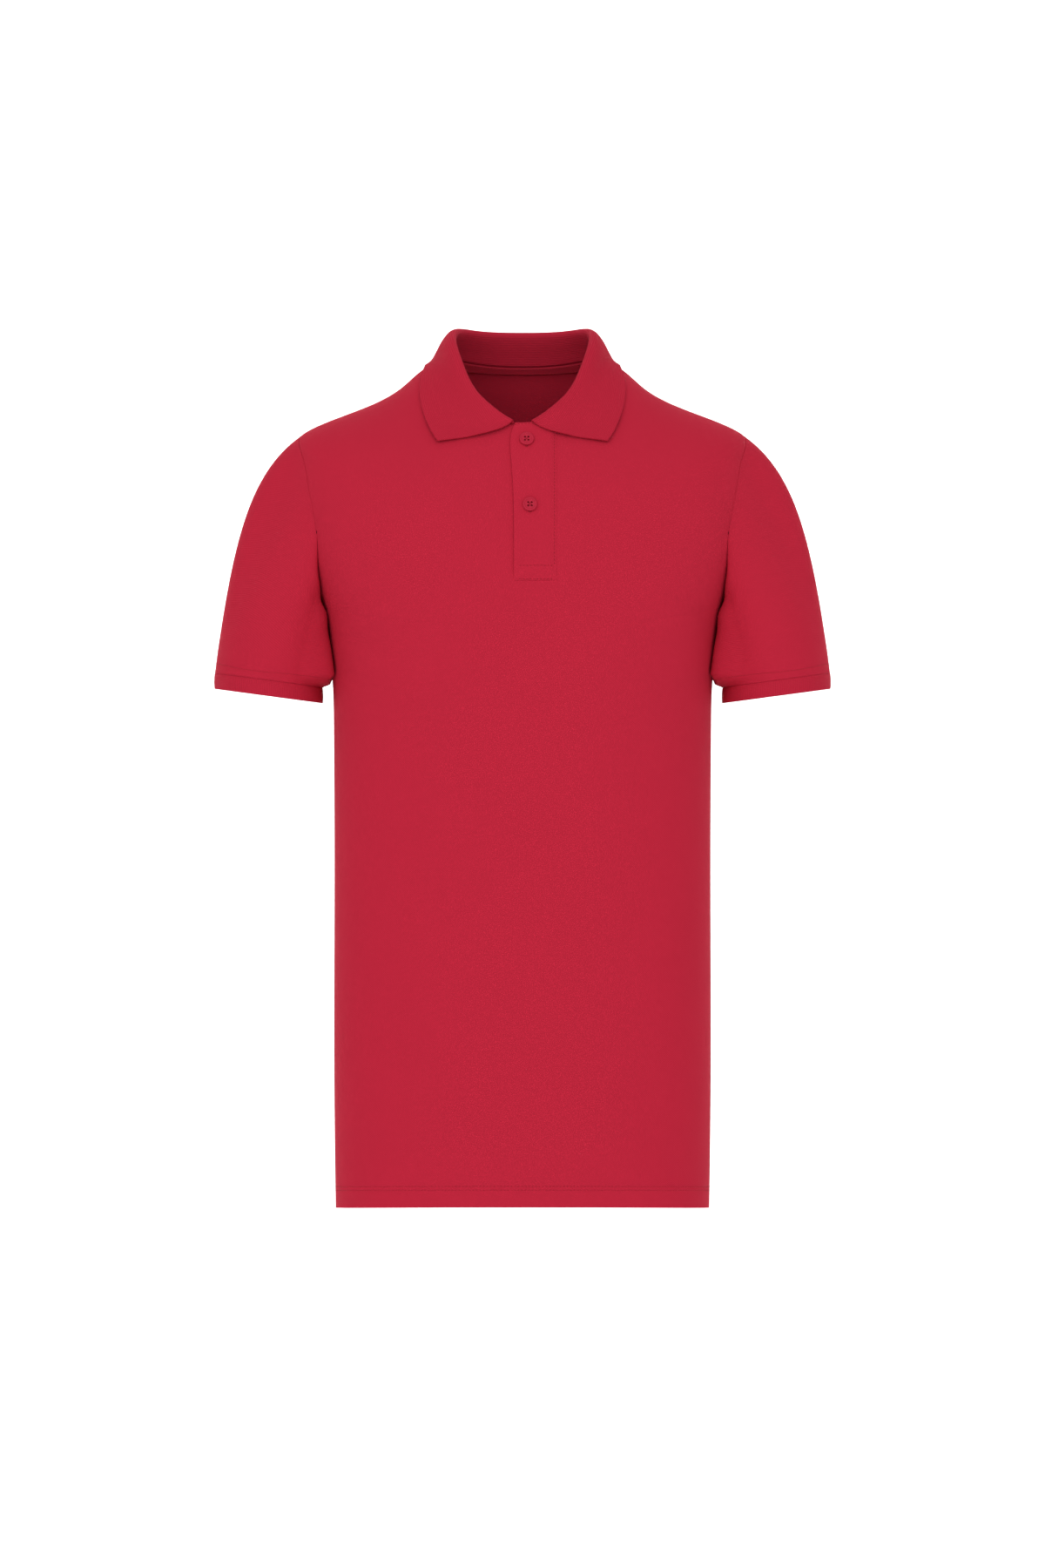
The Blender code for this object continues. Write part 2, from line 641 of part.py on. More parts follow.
def heights_of_front(z, x):
    """Side heights of the rings that pass the given front points."""
    fine = np.linspace(UNDERARM_Z, NECK_Z, 400)
    found = []
    for want_z, want_x in zip(np.ravel(z), np.ravel(x)):
        line = form(fine, angle_at_x(fine, want_x))
        found.append(np.interp(want_z, line[:, 2], fine))
    return np.array(found).reshape(np.shape(z))


def front_point(x, z, out=0.0):
    """A point of the front by its place in the front view, moved out from the cloth."""
    side_z = heights_of_front(np.asarray(z, float), np.asarray(x, float))
    angle = angle_at_x(side_z, x)
    return form(side_z, angle) + form_normal(side_z, angle) * out


def placket_strip(name, foot_z, left_edge, right_edge, out, wall, parts):
    """A strip on the front, from its foot to the neck edge."""
    foot_ring = float(heights_of_front(np.array([foot_z]), np.array([10.0]))[0])
    rings = np.linspace(foot_ring, NECK_Z - PLACKET_TOP, 12)
    middle_z = ring(rings)["front_z"]
    across = np.linspace(0, 1, 5)
    left = left_edge(middle_z)[:, None]
    x = left + (right_edge - left) * across
    side_z = np.repeat(rings[:, None], len(across), axis=1)
    angle = angle_at_x(side_z, x)
    grid = form(side_z, angle) + form_normal(side_z, angle) * out
    return sheet_object(name, grid, (CRIMSON, 0.85), parts, wall)


def plackets(parts):
    knots = column(PLACKET_EDGE, PLACKET_EDGE_COLUMNS, "z")
    edges = column(PLACKET_EDGE, PLACKET_EDGE_COLUMNS, "x")

    def free_edge(z):
        return smooth(knots, edges, np.clip(z, knots[0], knots[-1]))

    def sewn_edge(z):
        return np.full_like(z, SLOT_LEFT + SEAM_GAP)

    placket_strip(
        "placket_under", SLOT_FOOT_Z + SEAM_GAP, sewn_edge, SLOT_RIGHT - SEAM_GAP, 0.0, PIQUE, parts
    )
    placket_strip(
        "placket_top", PLACKET_FOOT_Z, free_edge, PLACKET_RIGHT, PLACKET_OUT, PLACKET_PLY, parts
    )


def button(name, x, z, parts, cutters):
    """A turned disc: flat back, rounded rim and dished face, with four holes through it."""
    rim, height, dish = BUTTON_RADIUS, BUTTON_THICKNESS, BUTTON_DISH
    profile = [
        (0.0, height - dish),
        (rim - BUTTON_RIM - 0.6, height - dish),
        (rim - BUTTON_RIM, height - 0.1),
        (rim - 0.7, height),
        (rim - 0.1, height - 0.6),
        (rim, height * 0.5),
        (rim - 0.9, 0.0),
        (0.0, 0.0),
    ]
    mesh = bpy.data.meshes.new(name)
    points = [(px * MM, 0, pz * MM) for px, pz in profile]
    mesh.from_pydata(points, [(i, i + 1) for i in range(len(points) - 1)], [])
    made = bpy.data.objects.new(name, mesh)
    parts.objects.link(made)
    made.data.materials.append(material(name, CRIMSON_BUTTON, 0.35))
    turned = made.modifiers.new("turned", "SCREW")
    turned.steps = turned.render_steps = 28
    turned.use_merge_vertices = True
    turned.merge_threshold = 0.00005
    turned.use_smooth_shade = True
    seat = PLACKET_OUT + SEAM_GAP
    place = front_point(np.array([x]), np.array([z]), seat)[0]
    ring_z = heights_of_front(np.array([z]), np.array([x]))
    normal = form_normal(ring_z, angle_at_x(ring_z, np.array([x])))[0]
    turn = Vector(normal).to_track_quat("Z", "Y").to_matrix().to_4x4()
    made.matrix_world = Matrix.Translation(Vector(place * MM)) @ turn
    for k in range(4):
        swing = math.radians(45 + 90 * k)
        bpy.ops.mesh.primitive_cylinder_add(vertices=12, radius=BUTTON_HOLE_RADIUS * MM, depth=8 * MM)
        hole = bpy.context.object
        hole.name = f"{name}_hole_{k}"
        offset = BUTTON_HOLE_SPACING * MM * Vector((math.cos(swing), math.sin(swing), 0))
        hole.matrix_world = made.matrix_world @ Matrix.Translation(offset)
        hole.hide_render = True
        hole.display_type = "WIRE"
        for owner in list(hole.users_collection):
            owner.objects.unlink(hole)
        cutters.objects.link(hole)
        cut = made.modifiers.new(f"hole_{k}", "BOOLEAN")
        cut.operation = "DIFFERENCE"
        cut.object = hole
    return made


def main():
    for old in list(bpy.data.objects):
        bpy.data.objects.remove(old, do_unlink=True)
    parts = collection("polo_shirt")
    cutters = collection("cutters")
    front_panel(parts)
    back_panel(parts)
    sleeves(parts)
    collar(parts)
    neck_tape(parts)
    plackets(parts)
    for name, x, z in BUTTONS:
        button(name, x, z, parts, cutters)


main()
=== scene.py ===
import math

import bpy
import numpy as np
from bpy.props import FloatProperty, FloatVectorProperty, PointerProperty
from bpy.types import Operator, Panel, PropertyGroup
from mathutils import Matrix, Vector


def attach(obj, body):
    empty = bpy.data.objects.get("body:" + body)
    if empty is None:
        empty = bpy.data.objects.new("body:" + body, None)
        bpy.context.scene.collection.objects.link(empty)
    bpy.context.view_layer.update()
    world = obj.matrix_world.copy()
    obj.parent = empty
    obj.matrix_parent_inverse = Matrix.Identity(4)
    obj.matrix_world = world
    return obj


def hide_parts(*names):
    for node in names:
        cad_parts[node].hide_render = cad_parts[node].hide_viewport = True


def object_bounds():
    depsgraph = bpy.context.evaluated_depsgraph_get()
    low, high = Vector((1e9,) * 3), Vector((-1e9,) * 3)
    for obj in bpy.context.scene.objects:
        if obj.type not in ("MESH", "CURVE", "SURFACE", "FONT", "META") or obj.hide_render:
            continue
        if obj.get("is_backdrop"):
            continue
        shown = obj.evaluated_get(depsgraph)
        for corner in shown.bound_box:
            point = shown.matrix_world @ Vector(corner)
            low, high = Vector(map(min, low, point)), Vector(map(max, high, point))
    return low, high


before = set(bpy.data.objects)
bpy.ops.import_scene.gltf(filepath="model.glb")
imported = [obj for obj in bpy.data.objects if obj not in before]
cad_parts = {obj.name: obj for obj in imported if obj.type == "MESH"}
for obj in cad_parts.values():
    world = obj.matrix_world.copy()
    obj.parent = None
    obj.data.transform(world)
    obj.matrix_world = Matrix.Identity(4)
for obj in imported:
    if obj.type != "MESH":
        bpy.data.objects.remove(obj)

# A short-sleeved polo shirt in plain crimson cotton pique, filled out as if worn.
#
# Every cloth piece is a numpy surface: the body is a pile of rounded rings, the sleeves are curves from
# the armhole to the cuff, and the collar is a strip that stands, rolls and falls. Tables and shapes are in
# millimetres in the shirt's own frame: +Z up, -Y out of the front, +X the viewer's right. Meshes are in
# metres. Every cloth mesh has a UV map in metres along its own surface, so that the knit follows it.

bl_info = {
    "name": "Polo shirt in cotton pique",
    "version": (1, 0, 0),
    "blender": (4, 5, 0),
    "location": "3D View > Sidebar > Polo shirt",
    "description": "Cloth, trim, stitching and a plain studio for a packed polo shirt",
    "category": "Object",
}

MM = 0.001
CAD_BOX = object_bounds()

# ---------------------------------------------------------------- sizes of the shirt, in millimetres

# The body's rings, from the hem to the neck. Front and back are depths from the side seams.
RING_COLUMNS = ("side_z", "side_x", "front_y", "front_z", "back_y", "back_z", "roundness")
RINGS = (
    (-721.0, 160.9, 114.0, -720.0, 105.0, -721.0, 2.50),
    (-620.0, 162.1, 116.0, -619.5, 107.0, -620.0, 2.50),
    (-500.0, 162.1, 115.0, -500.0, 103.0, -500.0, 2.45),
    (-390.0, 162.0, 116.0, -391.0, 101.0, -389.0, 2.40),
    (-310.0, 162.5, 119.0, -313.0, 105.0, -308.0, 2.40),
    (-270.0, 163.5, 121.0, -275.0, 108.0, -268.0, 2.40),
    (-240.0, 166.4, 122.5, -248.0, 110.5, -240.0, 2.45),
    (-205.0, 172.5, 123.0, -220.0, 112.0, -209.0, 2.50),
    (-168.0, 185.0, 122.0, -193.0, 112.0, -175.0, 2.50),
    (-131.0, 192.0, 120.0, -168.0, 111.0, -142.0, 2.50),
    (-93.0, 196.0, 116.0, -142.0, 107.0, -110.0, 2.45),
    (-70.0, 195.0, 112.0, -124.0, 102.5, -89.0, 2.35),
    (-57.0, 191.2, 108.5, -112.0, 98.5, -76.0, 2.30),
    (-44.3, 167.2, 103.0, -97.0, 92.5, -58.0, 2.25),
    (-30.3, 131.0, 96.5, -82.0, 84.0, -38.0, 2.20),
    (-17.3, 107.0, 90.0, -69.5, 76.0, -21.5, 2.15),
    (-2.7, 90.0, 84.0, -58.5, 69.0, -8.0, 2.12),
    (12.0, 69.0, 78.0, -47.5, 61.0, 3.0, 2.10),
)
HEM_Z = -721.0
NECK_Z = 12.0
UNDERARM_Z = -205.0
SHOULDER_TIP_Z = -57.0
ARMHOLE_HALF_DEPTH = 60.0
ARMHOLE_HALF_HEIGHT = (SHOULDER_TIP_Z - UNDERARM_Z) / 2
ARMHOLE_MIDDLE_Z = (UNDERARM_Z + SHOULDER_TIP_Z) / 2
# Rows of the panels above the hem's edge, close together at first
HEM_ROWS_UP = (0.0, 0.7, 1.6, 3.0)
HEM_STITCHES_UP = (15.2, 18.4)
# Each piece of a pair is the left one, multiplied by this
SIDES = (("left", np.array([1.0, 1.0, 1.0])), ("right", np.array([-1.0, 1.0, 1.0])))

SLOT_LEFT = -5.5
SLOT_RIGHT = 27.0
SLOT_FOOT_Z = -179.0
# The under strip keeps this far inside the slot
UNDER_STRIP_IN = 0.35
UNDER_STRIP_WALL = 1.1
UNDER_STRIP_GRID = (61, 15)
UPPER_STRIP_WALL = 1.4
UPPER_STRIP_GRID = (121, 37)
PLACKET_FOOT_Z = -181.5
PLACKET_RIGHT = 29.5
PLACKET_MIDDLE = 10.0
PLACKET_TOP_IN = 0.3
PLACKET_OUT = 1.95
PLACKET_FLUSH = 0.25
# How far the upper strip's free edge bends in, and over what width
PLACKET_EDGE_BEND = 0.12
PLACKET_EDGE_WIDTH = 0.6
ARCH_RISE = 1.6
ARCH_MIDDLE = 2.5
ARCH_HALF = 17.0
ARCH_FROM_Z = -58.0
ARCH_STITCH_Z = -46.8
ARCH_STITCH_BEND = 0.02
ARCH_STITCH_X = (-8.0, 16.0)
SIDE_STITCH_IN = 2.0
SIDE_STITCH_TOP_Z = -50.0
PLACKET_EDGE_COLUMNS = ("z", "x")
PLACKET_EDGE = (
    (-182.0, -7.4),
    (-140.0, -7.4),
    (-110.0, -7.8),
    (-85.0, -9.2),
    (-68.0, -10.4),
    (-56.0, -9.6),
    (-46.0, -6.0),
)
BOX_TOP_Z = -168.8
BOX_FOOT_Z = -180.2
BOX_X = (-4.6, 27.4)

SLEEVE_LINE_COLUMNS = ("line", "start_x", "start_y", "start_z", "end_x", "end_y", "end_z")
SLEEVE_LINES = (
    ("top", -147.0, 0.0, -103.0, -44.0, 0.0, -300.0),
    ("front", -40.0, -26.0, -85.0, -14.0, 6.0, -150.0),
    ("under", 7.0, 0.0, -65.0, -18.0, 0.0, -62.0),
    ("back", -40.0, 26.0, -85.0, -14.0, -6.0, -150.0),
)
UNDERARM_OUT = 0.45
# The seam under the arm: its depth, and its width in degrees
ARM_SEAM_DIP = 0.4
ARM_SEAM_WIDTH = 1.4
# The sleeve's close rows at the armhole, as shares of its length, and the share at which it tucks in
SLEEVE_HEAD = (0.0, 0.004, 0.009, 0.016, 0.026)
SLEEVE_HEAD_END = 0.04
SLEEVE_TUCK = 0.93
# The sleeve's inner side is drawn to this distance off the body, from turn to turn and share to share
ARM_LIFT = 1.5
ARM_TURNS = (34.0, 62.0)
ARM_RISE = (0.05, 0.3)
ARM_TUCK = (0.88, 1.0)
CUFF_SEAM_CENTRE = (-218.6, 2.0, -267.0)
CUFF_SEAM_HALF = (46.8, 60.0)
CUFF_EDGE_CENTRE = (-218.6, 2.0, -280.6)
CUFF_EDGE_HALF = (47.0, 60.0)
CUFF_TILT = 7.6
CUFF_ROUNDNESS = 2.15
CUFF_TOP_DOWN = 0.15
CUFF_SWELL = 0.5
CUFF_STITCHES_UP = 6.2
# How far the cuff's seam allowance goes up inside the sleeve, and how far in from its surface
CUFF_TUCK = ((3.0, 1.6), (0.8, 1.3), (0.1, 0.7))
BLOUSE_COLUMNS = ("line", "out")
BLOUSE = (("top", 0.3), ("front", 2.0), ("under", 5.0), ("back", 2.0))
BLOUSE_RISE = (0.45, 0.9)
BLOUSE_TUCK = (SLEEVE_TUCK, 1.0)

# Collar, one half, from its front end round to the middle of the back.
# `roll` and `turn` are the fold's radius and angle, `leave` is how strongly the leaf keeps on in the
# fold's direction, and `slope` is how far its edge turns down along the body
COLLAR_COLUMNS = (
    "along", "seam_angle", "fold_x", "fold_y", "fold_z", "roll", "turn", "leave", "slope", "edge_ring_z",
    "edge_angle",
)
COLLAR = (
    (0.00, 84.5, -10.0, -81.8, -45.4, 2.1, 124.0, 1.68, -0.20, -27.6, 56.4),
    (0.10, 67.3, -28.0, -75.5, -31.0, 2.3, 138.0, 1.00, 0.10, -18.6, 41.0),
    (0.20, 52.1, -41.0, -63.5, -17.5, 2.6, 150.0, 0.75, 0.60, -6.8, 22.5),
    (0.35, 30.6, -53.3, -41.5, 8.5, 2.9, 152.0, 0.70, 1.00, 2.6, 4.0),
    (0.50, 7.6, -59.2, -13.5, 28.2, 3.0, 145.0, 0.70, 1.00, 0.3, -16.0),
    (0.62, -14.0, -56.2, 11.0, 34.6, 3.1, 142.0, 0.70, 1.00, -4.0, -32.0),
    (0.80, -51.0, -36.5, 41.0, 33.2, 3.1, 142.0, 0.70, 1.00, -10.0, -58.0),
    (1.00, -90.0, 0.0, 54.0, 32.0, 3.1, 142.0, 0.70, 1.00, -14.0, -90.0),
)
# How far the strip's end keeps off the neck seam, and how far inside it lies
COLLAR_CLEAR = 0.25
COLLAR_SEAM_IN = 0.6
COLLAR_GRID = (241, 73)
LEAF_ARRIVE = 0.8
LEAF_LIFT = 1.2
LEAF_LIFT_OVER_PLACKET = 4.2
TIP_LIFT = 2.4
# The tip's lift ends at this share of the way round, and starts at this share of the way down the leaf
TIP_ROUND = 0.22
TIP_DOWN = 0.3
PLACKET_REACH = (33.0, 52.0)
LEAF_GROUND_Z = -72.0
LEAF_SOFTNESS = 0.5
COLLAR_HALF_STEPS = 19
STAND_STEPS = 3
ROLL_STEPS = 5
LEAF_STEPS = 7

TAPE_HALF_ANGLE = 66.0
TAPE_DEPTH = 8.0
TAPE_WALL = 0.7
TAPE_CLEAR = 0.25
TAPE_STITCH_Z = (NECK_Z - 1.3, NECK_Z - TAPE_DEPTH + 1.0)

BUTTON_SHANK = 0.3
HOLE_SPACING = 2.1
HOLE_RADIUS = 0.95
BUTTONHOLE_LENGTH = 13.2
BUTTONHOLE_SIDE = 0.62
BUTTONHOLE_DROP = 0.3
# Length, pitch, thickness and sinking of the stitches that bind a buttonhole or hold a button
BAR_STITCH = (0.62, 0.66, 0.36, 0.15)
BUTTON_STITCH = (3.6, 4.2, 0.24, 1.0)
SEAM_STITCH_SINK = 0.15
# Each button's name, node, x and z
BUTTONS = (("button_upper", "button_1", 3.6, -61.1), ("button_lower", "button_2", 6.4, -116.8))

# Creases: soft troughs with a low ridge on both sides. On the body, across and along are the x and z of
# the front view; on a sleeve, across runs round it from the shoulder line and along runs down it.
# Each row: from across, from along, to across, to along, bow, width and depth.
CREASE_RIDGE = 0.45
CREASE_RIDGE_AT = 1.9
FRONT_CREASES = (
    (-168.0, -214.0, -112.0, -196.0, 5.0, 8.0, 1.1),
    (-166.0, -226.0, -96.0, -232.0, -6.0, 9.0, 0.9),
    (-163.0, -246.0, -118.0, -276.0, -5.0, 8.0, 0.8),
    (167.0, -216.0, 118.0, -194.0, -4.0, 8.0, 1.0),
    (166.0, -229.0, 90.0, -238.0, 6.0, 10.0, 0.9),
    (162.0, -252.0, 124.0, -284.0, 5.0, 8.0, 0.6),
    (-120.0, -470.0, -104.0, -690.0, 6.0, 18.0, 0.9),
    (96.0, -430.0, 112.0, -670.0, -8.0, 20.0, 0.8),
)
BACK_CREASES = (
    (-168.0, -208.0, -104.0, -178.0, 5.0, 9.0, 1.9),
    (-165.0, -224.0, -88.0, -222.0, -6.0, 10.0, 1.7),
    (-162.0, -248.0, -108.0, -282.0, -6.0, 9.0, 1.4),
    (167.0, -210.0, 110.0, -176.0, -5.0, 9.0, 1.7),
    (165.0, -228.0, 94.0, -230.0, 6.0, 10.0, 1.5),
    (162.0, -255.0, 112.0, -296.0, 6.0, 9.0, 1.2),
    (-58.0, -330.0, -74.0, -560.0, 8.0, 20.0, 2.5),
    (-18.0, -360.0, -8.0, -520.0, -6.0, 16.0, 1.5),
    (44.0, -320.0, 66.0, -600.0, -9.0, 22.0, 2.7),
    (112.0, -400.0, 104.0, -650.0, 6.0, 18.0, 1.5),
    (-118.0, -430.0, -108.0, -680.0, -6.0, 18.0, 1.4),
)
SLEEVE_CREASES = (
    (168.0, 6.0, 118.0, 58.0, 5.0, 7.0, 1.4),
    (196.0, 6.0, 246.0, 52.0, -5.0, 7.0, 1.5),
    (150.0, 4.0, 96.0, 40.0, 4.0, 7.0, 0.9),
    (214.0, 4.0, 262.0, 84.0, -6.0, 9.0, 1.0),
)
# How far a panel's cut edge turns in where it is sewn, over what width, and the grid's strips there
SEAM_DIP = 0.22
SEAM_DIP_WIDTH = 1.1
SEAM_STRIPS = (0.6, 1.3, 2.2, 3.4)


# ---------------------------------------------------------------- curves and the body's form


def column(table, names, name):
    """One named column of a table."""
    return np.array([row[names.index(name)] for row in table])


def smooth(knots, values, at):
    """Natural cubic spline: between two knots, a cubic with the same slope and bend as its neighbours,
    and no bend at the ends. Values may be numbers or whole rows of points."""
    knots, values, at = (np.asarray(a, float) for a in (knots, values, at))
    gap = np.diff(knots)
    count = len(knots)
    system = np.eye(count)
    inner = np.arange(1, count - 1)
    system[inner, inner - 1] = gap[:-1]
    system[inner, inner] = 2 * (gap[:-1] + gap[1:])
    system[inner, inner + 1] = gap[1:]
    more = (1,) * (values.ndim - 1)
    slope = np.diff(values, axis=0) / gap.reshape(-1, *more)
    target = np.zeros_like(values)
    target[1:-1] = 6 * np.diff(slope, axis=0)
    bend = np.linalg.solve(system, target.reshape(count, -1)).reshape(values.shape)
    k = np.clip(np.searchsorted(knots, at, side="right") - 1, 0, count - 2)
    left, right, wide = (a.reshape(*at.shape, *more) for a in (at - knots[k], knots[k + 1] - at, gap[k]))
    return (
        (bend[k] * right**3 + bend[k + 1] * left**3) / (6 * wide)
        + (values[k] / wide - bend[k] * wide / 6) * right
        + (values[k + 1] / wide - bend[k + 1] * wide / 6) * left
    )


def hermite(start, end, leave, arrive, share):
    """Cubic between two points: it leaves along `leave` and comes in along `arrive`."""
    s = np.asarray(share, float)[..., None]
    return (
        (2 * s**3 - 3 * s**2 + 1) * start
        + (s**3 - 2 * s**2 + s) * leave
        + (3 * s**2 - 2 * s**3) * end
        + (s**3 - s**2) * arrive
    )


def smooth_step(low, high, value):
    """0 below low, 1 above high, and three squares less two cubes of the share between them."""
    share = np.clip((value - low) / (high - low), 0, 1)
    return share * share * (3 - 2 * share)


def unit(vectors):
    """Vectors divided by their lengths."""
    return vectors / np.linalg.norm(vectors, axis=-1, keepdims=True)


def signed_power(value, power):
    """A power of the value's size, with the value's sign."""
    return np.sign(value) * np.abs(value) ** power


def run_along(points, axis):
    """The distance run along one axis of a grid of points, from 0 at its start."""
    steps = np.linalg.norm(np.diff(points, axis=axis), axis=-1)
    return np.cumsum(np.insert(steps, 0, 0.0, axis=axis), axis=axis)


def wrapped(grid):
    """A grid with its first column again after its last."""
    return np.concatenate([grid, grid[:, :1]], axis=1)


def ring(side_z):
    """Every column of the ring table, by name, splined to the given side heights."""
    knots = column(RINGS, RING_COLUMNS, "side_z")
    return {name: smooth(knots, column(RINGS, RING_COLUMNS, name), side_z) for name in RING_COLUMNS[1:]}


def form(side_z, angle):
    """Points of the body. A ring's x and y are cosine and sine to the power two over its roundness,
    times its half width and its depth; its height runs from the side's to the middle's with the square
    of the sine. Angle 0 is the viewer's right side, 90 the front, 180 the left side and -90 the back."""
    side_z, angle = np.broadcast_arrays(np.asarray(side_z, float), np.radians(angle))
    size = ring(side_z)
    power = 2 / size["roundness"]
    front = angle >= 0
    x = size["side_x"] * signed_power(np.cos(angle), power)
    y = np.where(front, -size["front_y"], size["back_y"]) * np.abs(np.sin(angle)) ** power
    middle_z = np.where(front, size["front_z"], size["back_z"])
    return np.stack([x, y, side_z + (middle_z - side_z) * np.sin(angle) ** 2], axis=-1)


def form_normal(side_z, angle):
    """Outward unit normals: a small step up the body crossed with a small step round it."""
    step = 0.4
    side_z, angle = np.broadcast_arrays(np.asarray(side_z, float), np.asarray(angle, float))
    inside = np.clip(angle, -179.0, 179.0)
    inside = np.where(np.abs(inside) < 1.0, np.where(angle < 0, -1.0, 1.0), inside)
    around = form(side_z, inside + step) - form(side_z, inside - step)
    up = np.clip(side_z + step, None, NECK_Z)
    down = np.clip(side_z - step, HEM_Z, None)
    return unit(np.cross(form(up, inside) - form(down, inside), around))


def angle_at_x(side_z, x):
    """The front angle at which a ring passes x: the arc cosine of its share of the half width, raised
    to half the roundness."""
    size = ring(side_z)
    share = np.clip(np.abs(x) / size["side_x"], 0, 1)
    angle = np.degrees(np.arccos(share ** (size["roundness"] / 2)))
    return np.where(np.asarray(x) < 0, 180 - angle, angle)


def angle_at_depth(side_z, depth, front):
    """The angle from the side at which a ring is `depth` in front of it, or behind it."""
    size = ring(side_z)
    full = size["front_y"] if front else size["back_y"]
    return np.degrees(np.arcsin(np.clip(depth / full, 0, 1) ** (size["roundness"] / 2)))


def creased(across, along, table):
    """Height of the creases at each point: for each, a trough whose depth falls with the square of the
    distance from a bowed line, fading towards the line's ends, with a low ridge on both sides."""
    height = np.zeros(np.broadcast(across, along).shape)
    for from_across, from_along, to_across, to_along, bow, width, depth in table:
        run = np.array([to_across - from_across, to_along - from_along])
        length = np.linalg.norm(run)
        run = run / length
        du, dv = across - from_across, along - from_along
        share = (du * run[0] + dv * run[1]) / length
        bent = bow * 4 * share * (1 - share)
        off = (du * -run[1] + dv * run[0] - bent) / width
        fade = smooth_step(-0.15, 0.3, share) * (1 - smooth_step(0.5, 1.1, share))
        ridge = CREASE_RIDGE * np.exp(-((np.abs(off) - CREASE_RIDGE_AT) ** 2))
        height += depth * fade * (ridge - np.exp(-(off**2)))
    return height


def cloth(side_z, angle, out=0.0):
    """Points of the dressed body: the form moved along its normals by the creases of its side, which
    fade out at the side seams, and by `out`."""
    points = form(side_z, angle)
    normals = form_normal(side_z, angle)
    front = np.broadcast_to(np.asarray(angle) >= 0, points.shape[:-1])
    relief = np.where(
        front,
        creased(points[..., 0], points[..., 2], FRONT_CREASES),
        creased(points[..., 0], points[..., 2], BACK_CREASES),
    )
    inside = smooth_step(0.0, 30.0, np.abs(points[..., 1]))
    return points + normals * (relief * inside + out)[..., None], normals


# ---------------------------------------------------------------- meshes


def across_rows(side_z, start, end, count, first=(), last=()):
    """Angles on each ring from start to end at equal distances along it, with narrow strips of the
    given distances from an end where that is a seam."""
    ease = (1 - np.cos(np.linspace(0, math.pi, 161))) / 2
    fine = start[:, None] + (end - start)[:, None] * ease
    run = run_along(form(side_z[:, None], fine), 1)
    head = np.array([0.0, *first])
    tail = np.array([0.0, *last])[::-1]
    whole = run[:, -1:]
    share = np.linspace(0, 1, count + 1)[1:-1]
    middle = head[-1] + (whole - tail[0] - head[-1]) * share
    stops = np.concatenate([head + 0 * whole, middle, whole - tail], axis=1)
    return np.stack([np.interp(s, r, f) for s, r, f in zip(stops, run, fine)])


def surface_map(grid):
    """UV in metres: across is the distance along each row from its middle, and up the distance along
    each column from the first row."""
    across = run_along(grid, 1)
    middle = across.shape[1] // 2
    return np.stack([across - across[:, middle : middle + 1], run_along(grid, 0)], axis=-1) * MM


def mesh_from(name, points, corners, spots=None):
    """A smooth-shaded mesh of quads from whole arrays, with UVs for each corner."""
    used, corners = np.unique(corners, return_inverse=True)
    corners = corners.reshape(-1, 4)
    points = points.reshape(-1, 3)[used] * MM
    mesh = bpy.data.meshes.new(name)
    mesh.vertices.add(len(points))
    mesh.vertices.foreach_set("co", points.astype(np.float32).ravel())
    mesh.loops.add(corners.size)
    mesh.loops.foreach_set("vertex_index", corners.astype(np.int32).ravel())
    mesh.polygons.add(len(corners))
    mesh.polygons.foreach_set("loop_start", np.arange(0, corners.size, 4, dtype=np.int32))
    mesh.update(calc_edges=True)
    if spots is not None:
        layer = mesh.uv_layers.new(name="cloth")
        layer.data.foreach_set("uv", spots.astype(np.float32).ravel())
    mesh.validate()
    mesh.shade_smooth()
    return mesh


def sheet_mesh(name, grid, around=False, turned=False, keep=None):
    """A mesh through a grid of points, one quad for each cell that is kept."""
    index = np.arange(grid.shape[0] * grid.shape[1]).reshape(grid.shape[:2])
    spots = surface_map(wrapped(grid) if around else grid)
    if around:
        index = wrapped(index)
    rows, cells = index.shape[0] - 1, index.shape[1] - 1
    around_cell = ((0, 0), (0, 1), (1, 1), (1, 0))
    if turned:
        around_cell = around_cell[::-1]
    corners = np.stack([index[j : rows + j, i : cells + i] for j, i in around_cell], axis=-1)
    places = np.stack([spots[j : rows + j, i : cells + i] for j, i in around_cell], axis=-2)
    if keep is not None:
        corners, places = corners[keep], places[keep]
    return mesh_from(name, grid, corners.reshape(-1, 4), places.reshape(-1, 2))


def add_object(name, data):
    """A new object in the scene, at the origin."""
    made = bpy.data.objects.new(name, data)
    bpy.context.scene.collection.objects.link(made)
    return made


def add_piece(name, mesh, material, nodes=()):
    """A finished piece at the origin: it rides on the shirt's one body and stands for its CAD nodes."""
    piece = add_object(name, mesh)
    mesh.materials.append(finish(material))
    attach(piece, "root")
    if nodes:
        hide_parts(*nodes)
    return piece


def add_cloth(
    name, grid, material, node, wall, around=False, turned=False, keep=None, inward=True, tall=np.max
):
    """A cloth piece: its surface and a wall of the cloth's own thickness. Its cut size, which is its
    widest row by its longest or middling column, and the area of its kept cells are worked out but not kept."""
    mesh = sheet_mesh(name, grid, around, turned, keep)
    piece = add_piece(name, mesh, material, (node,))
    thick = piece.modifiers.new("cloth thickness", "SOLIDIFY")
    thick.thickness = wall * MM
    thick.offset = -1.0 if inward else 0.0
    areas = np.zeros(len(mesh.polygons), np.float32)
    mesh.polygons.foreach_get("area", areas)
    width = run_along(wrapped(grid) if around else grid, 1)[:, -1].max() * MM
    length = tall(run_along(grid, 0)[-1]) * MM


def add_pair(part, ending, left, material, wall):
    """The left piece of a pair and its mirror image, both closed round the arm."""
    for side, way in SIDES:
        node = f"{part}_{side}"
        add_cloth(f"{node}_{ending}", left * way, material, node, wall, around=True, turned=way[0] > 0)


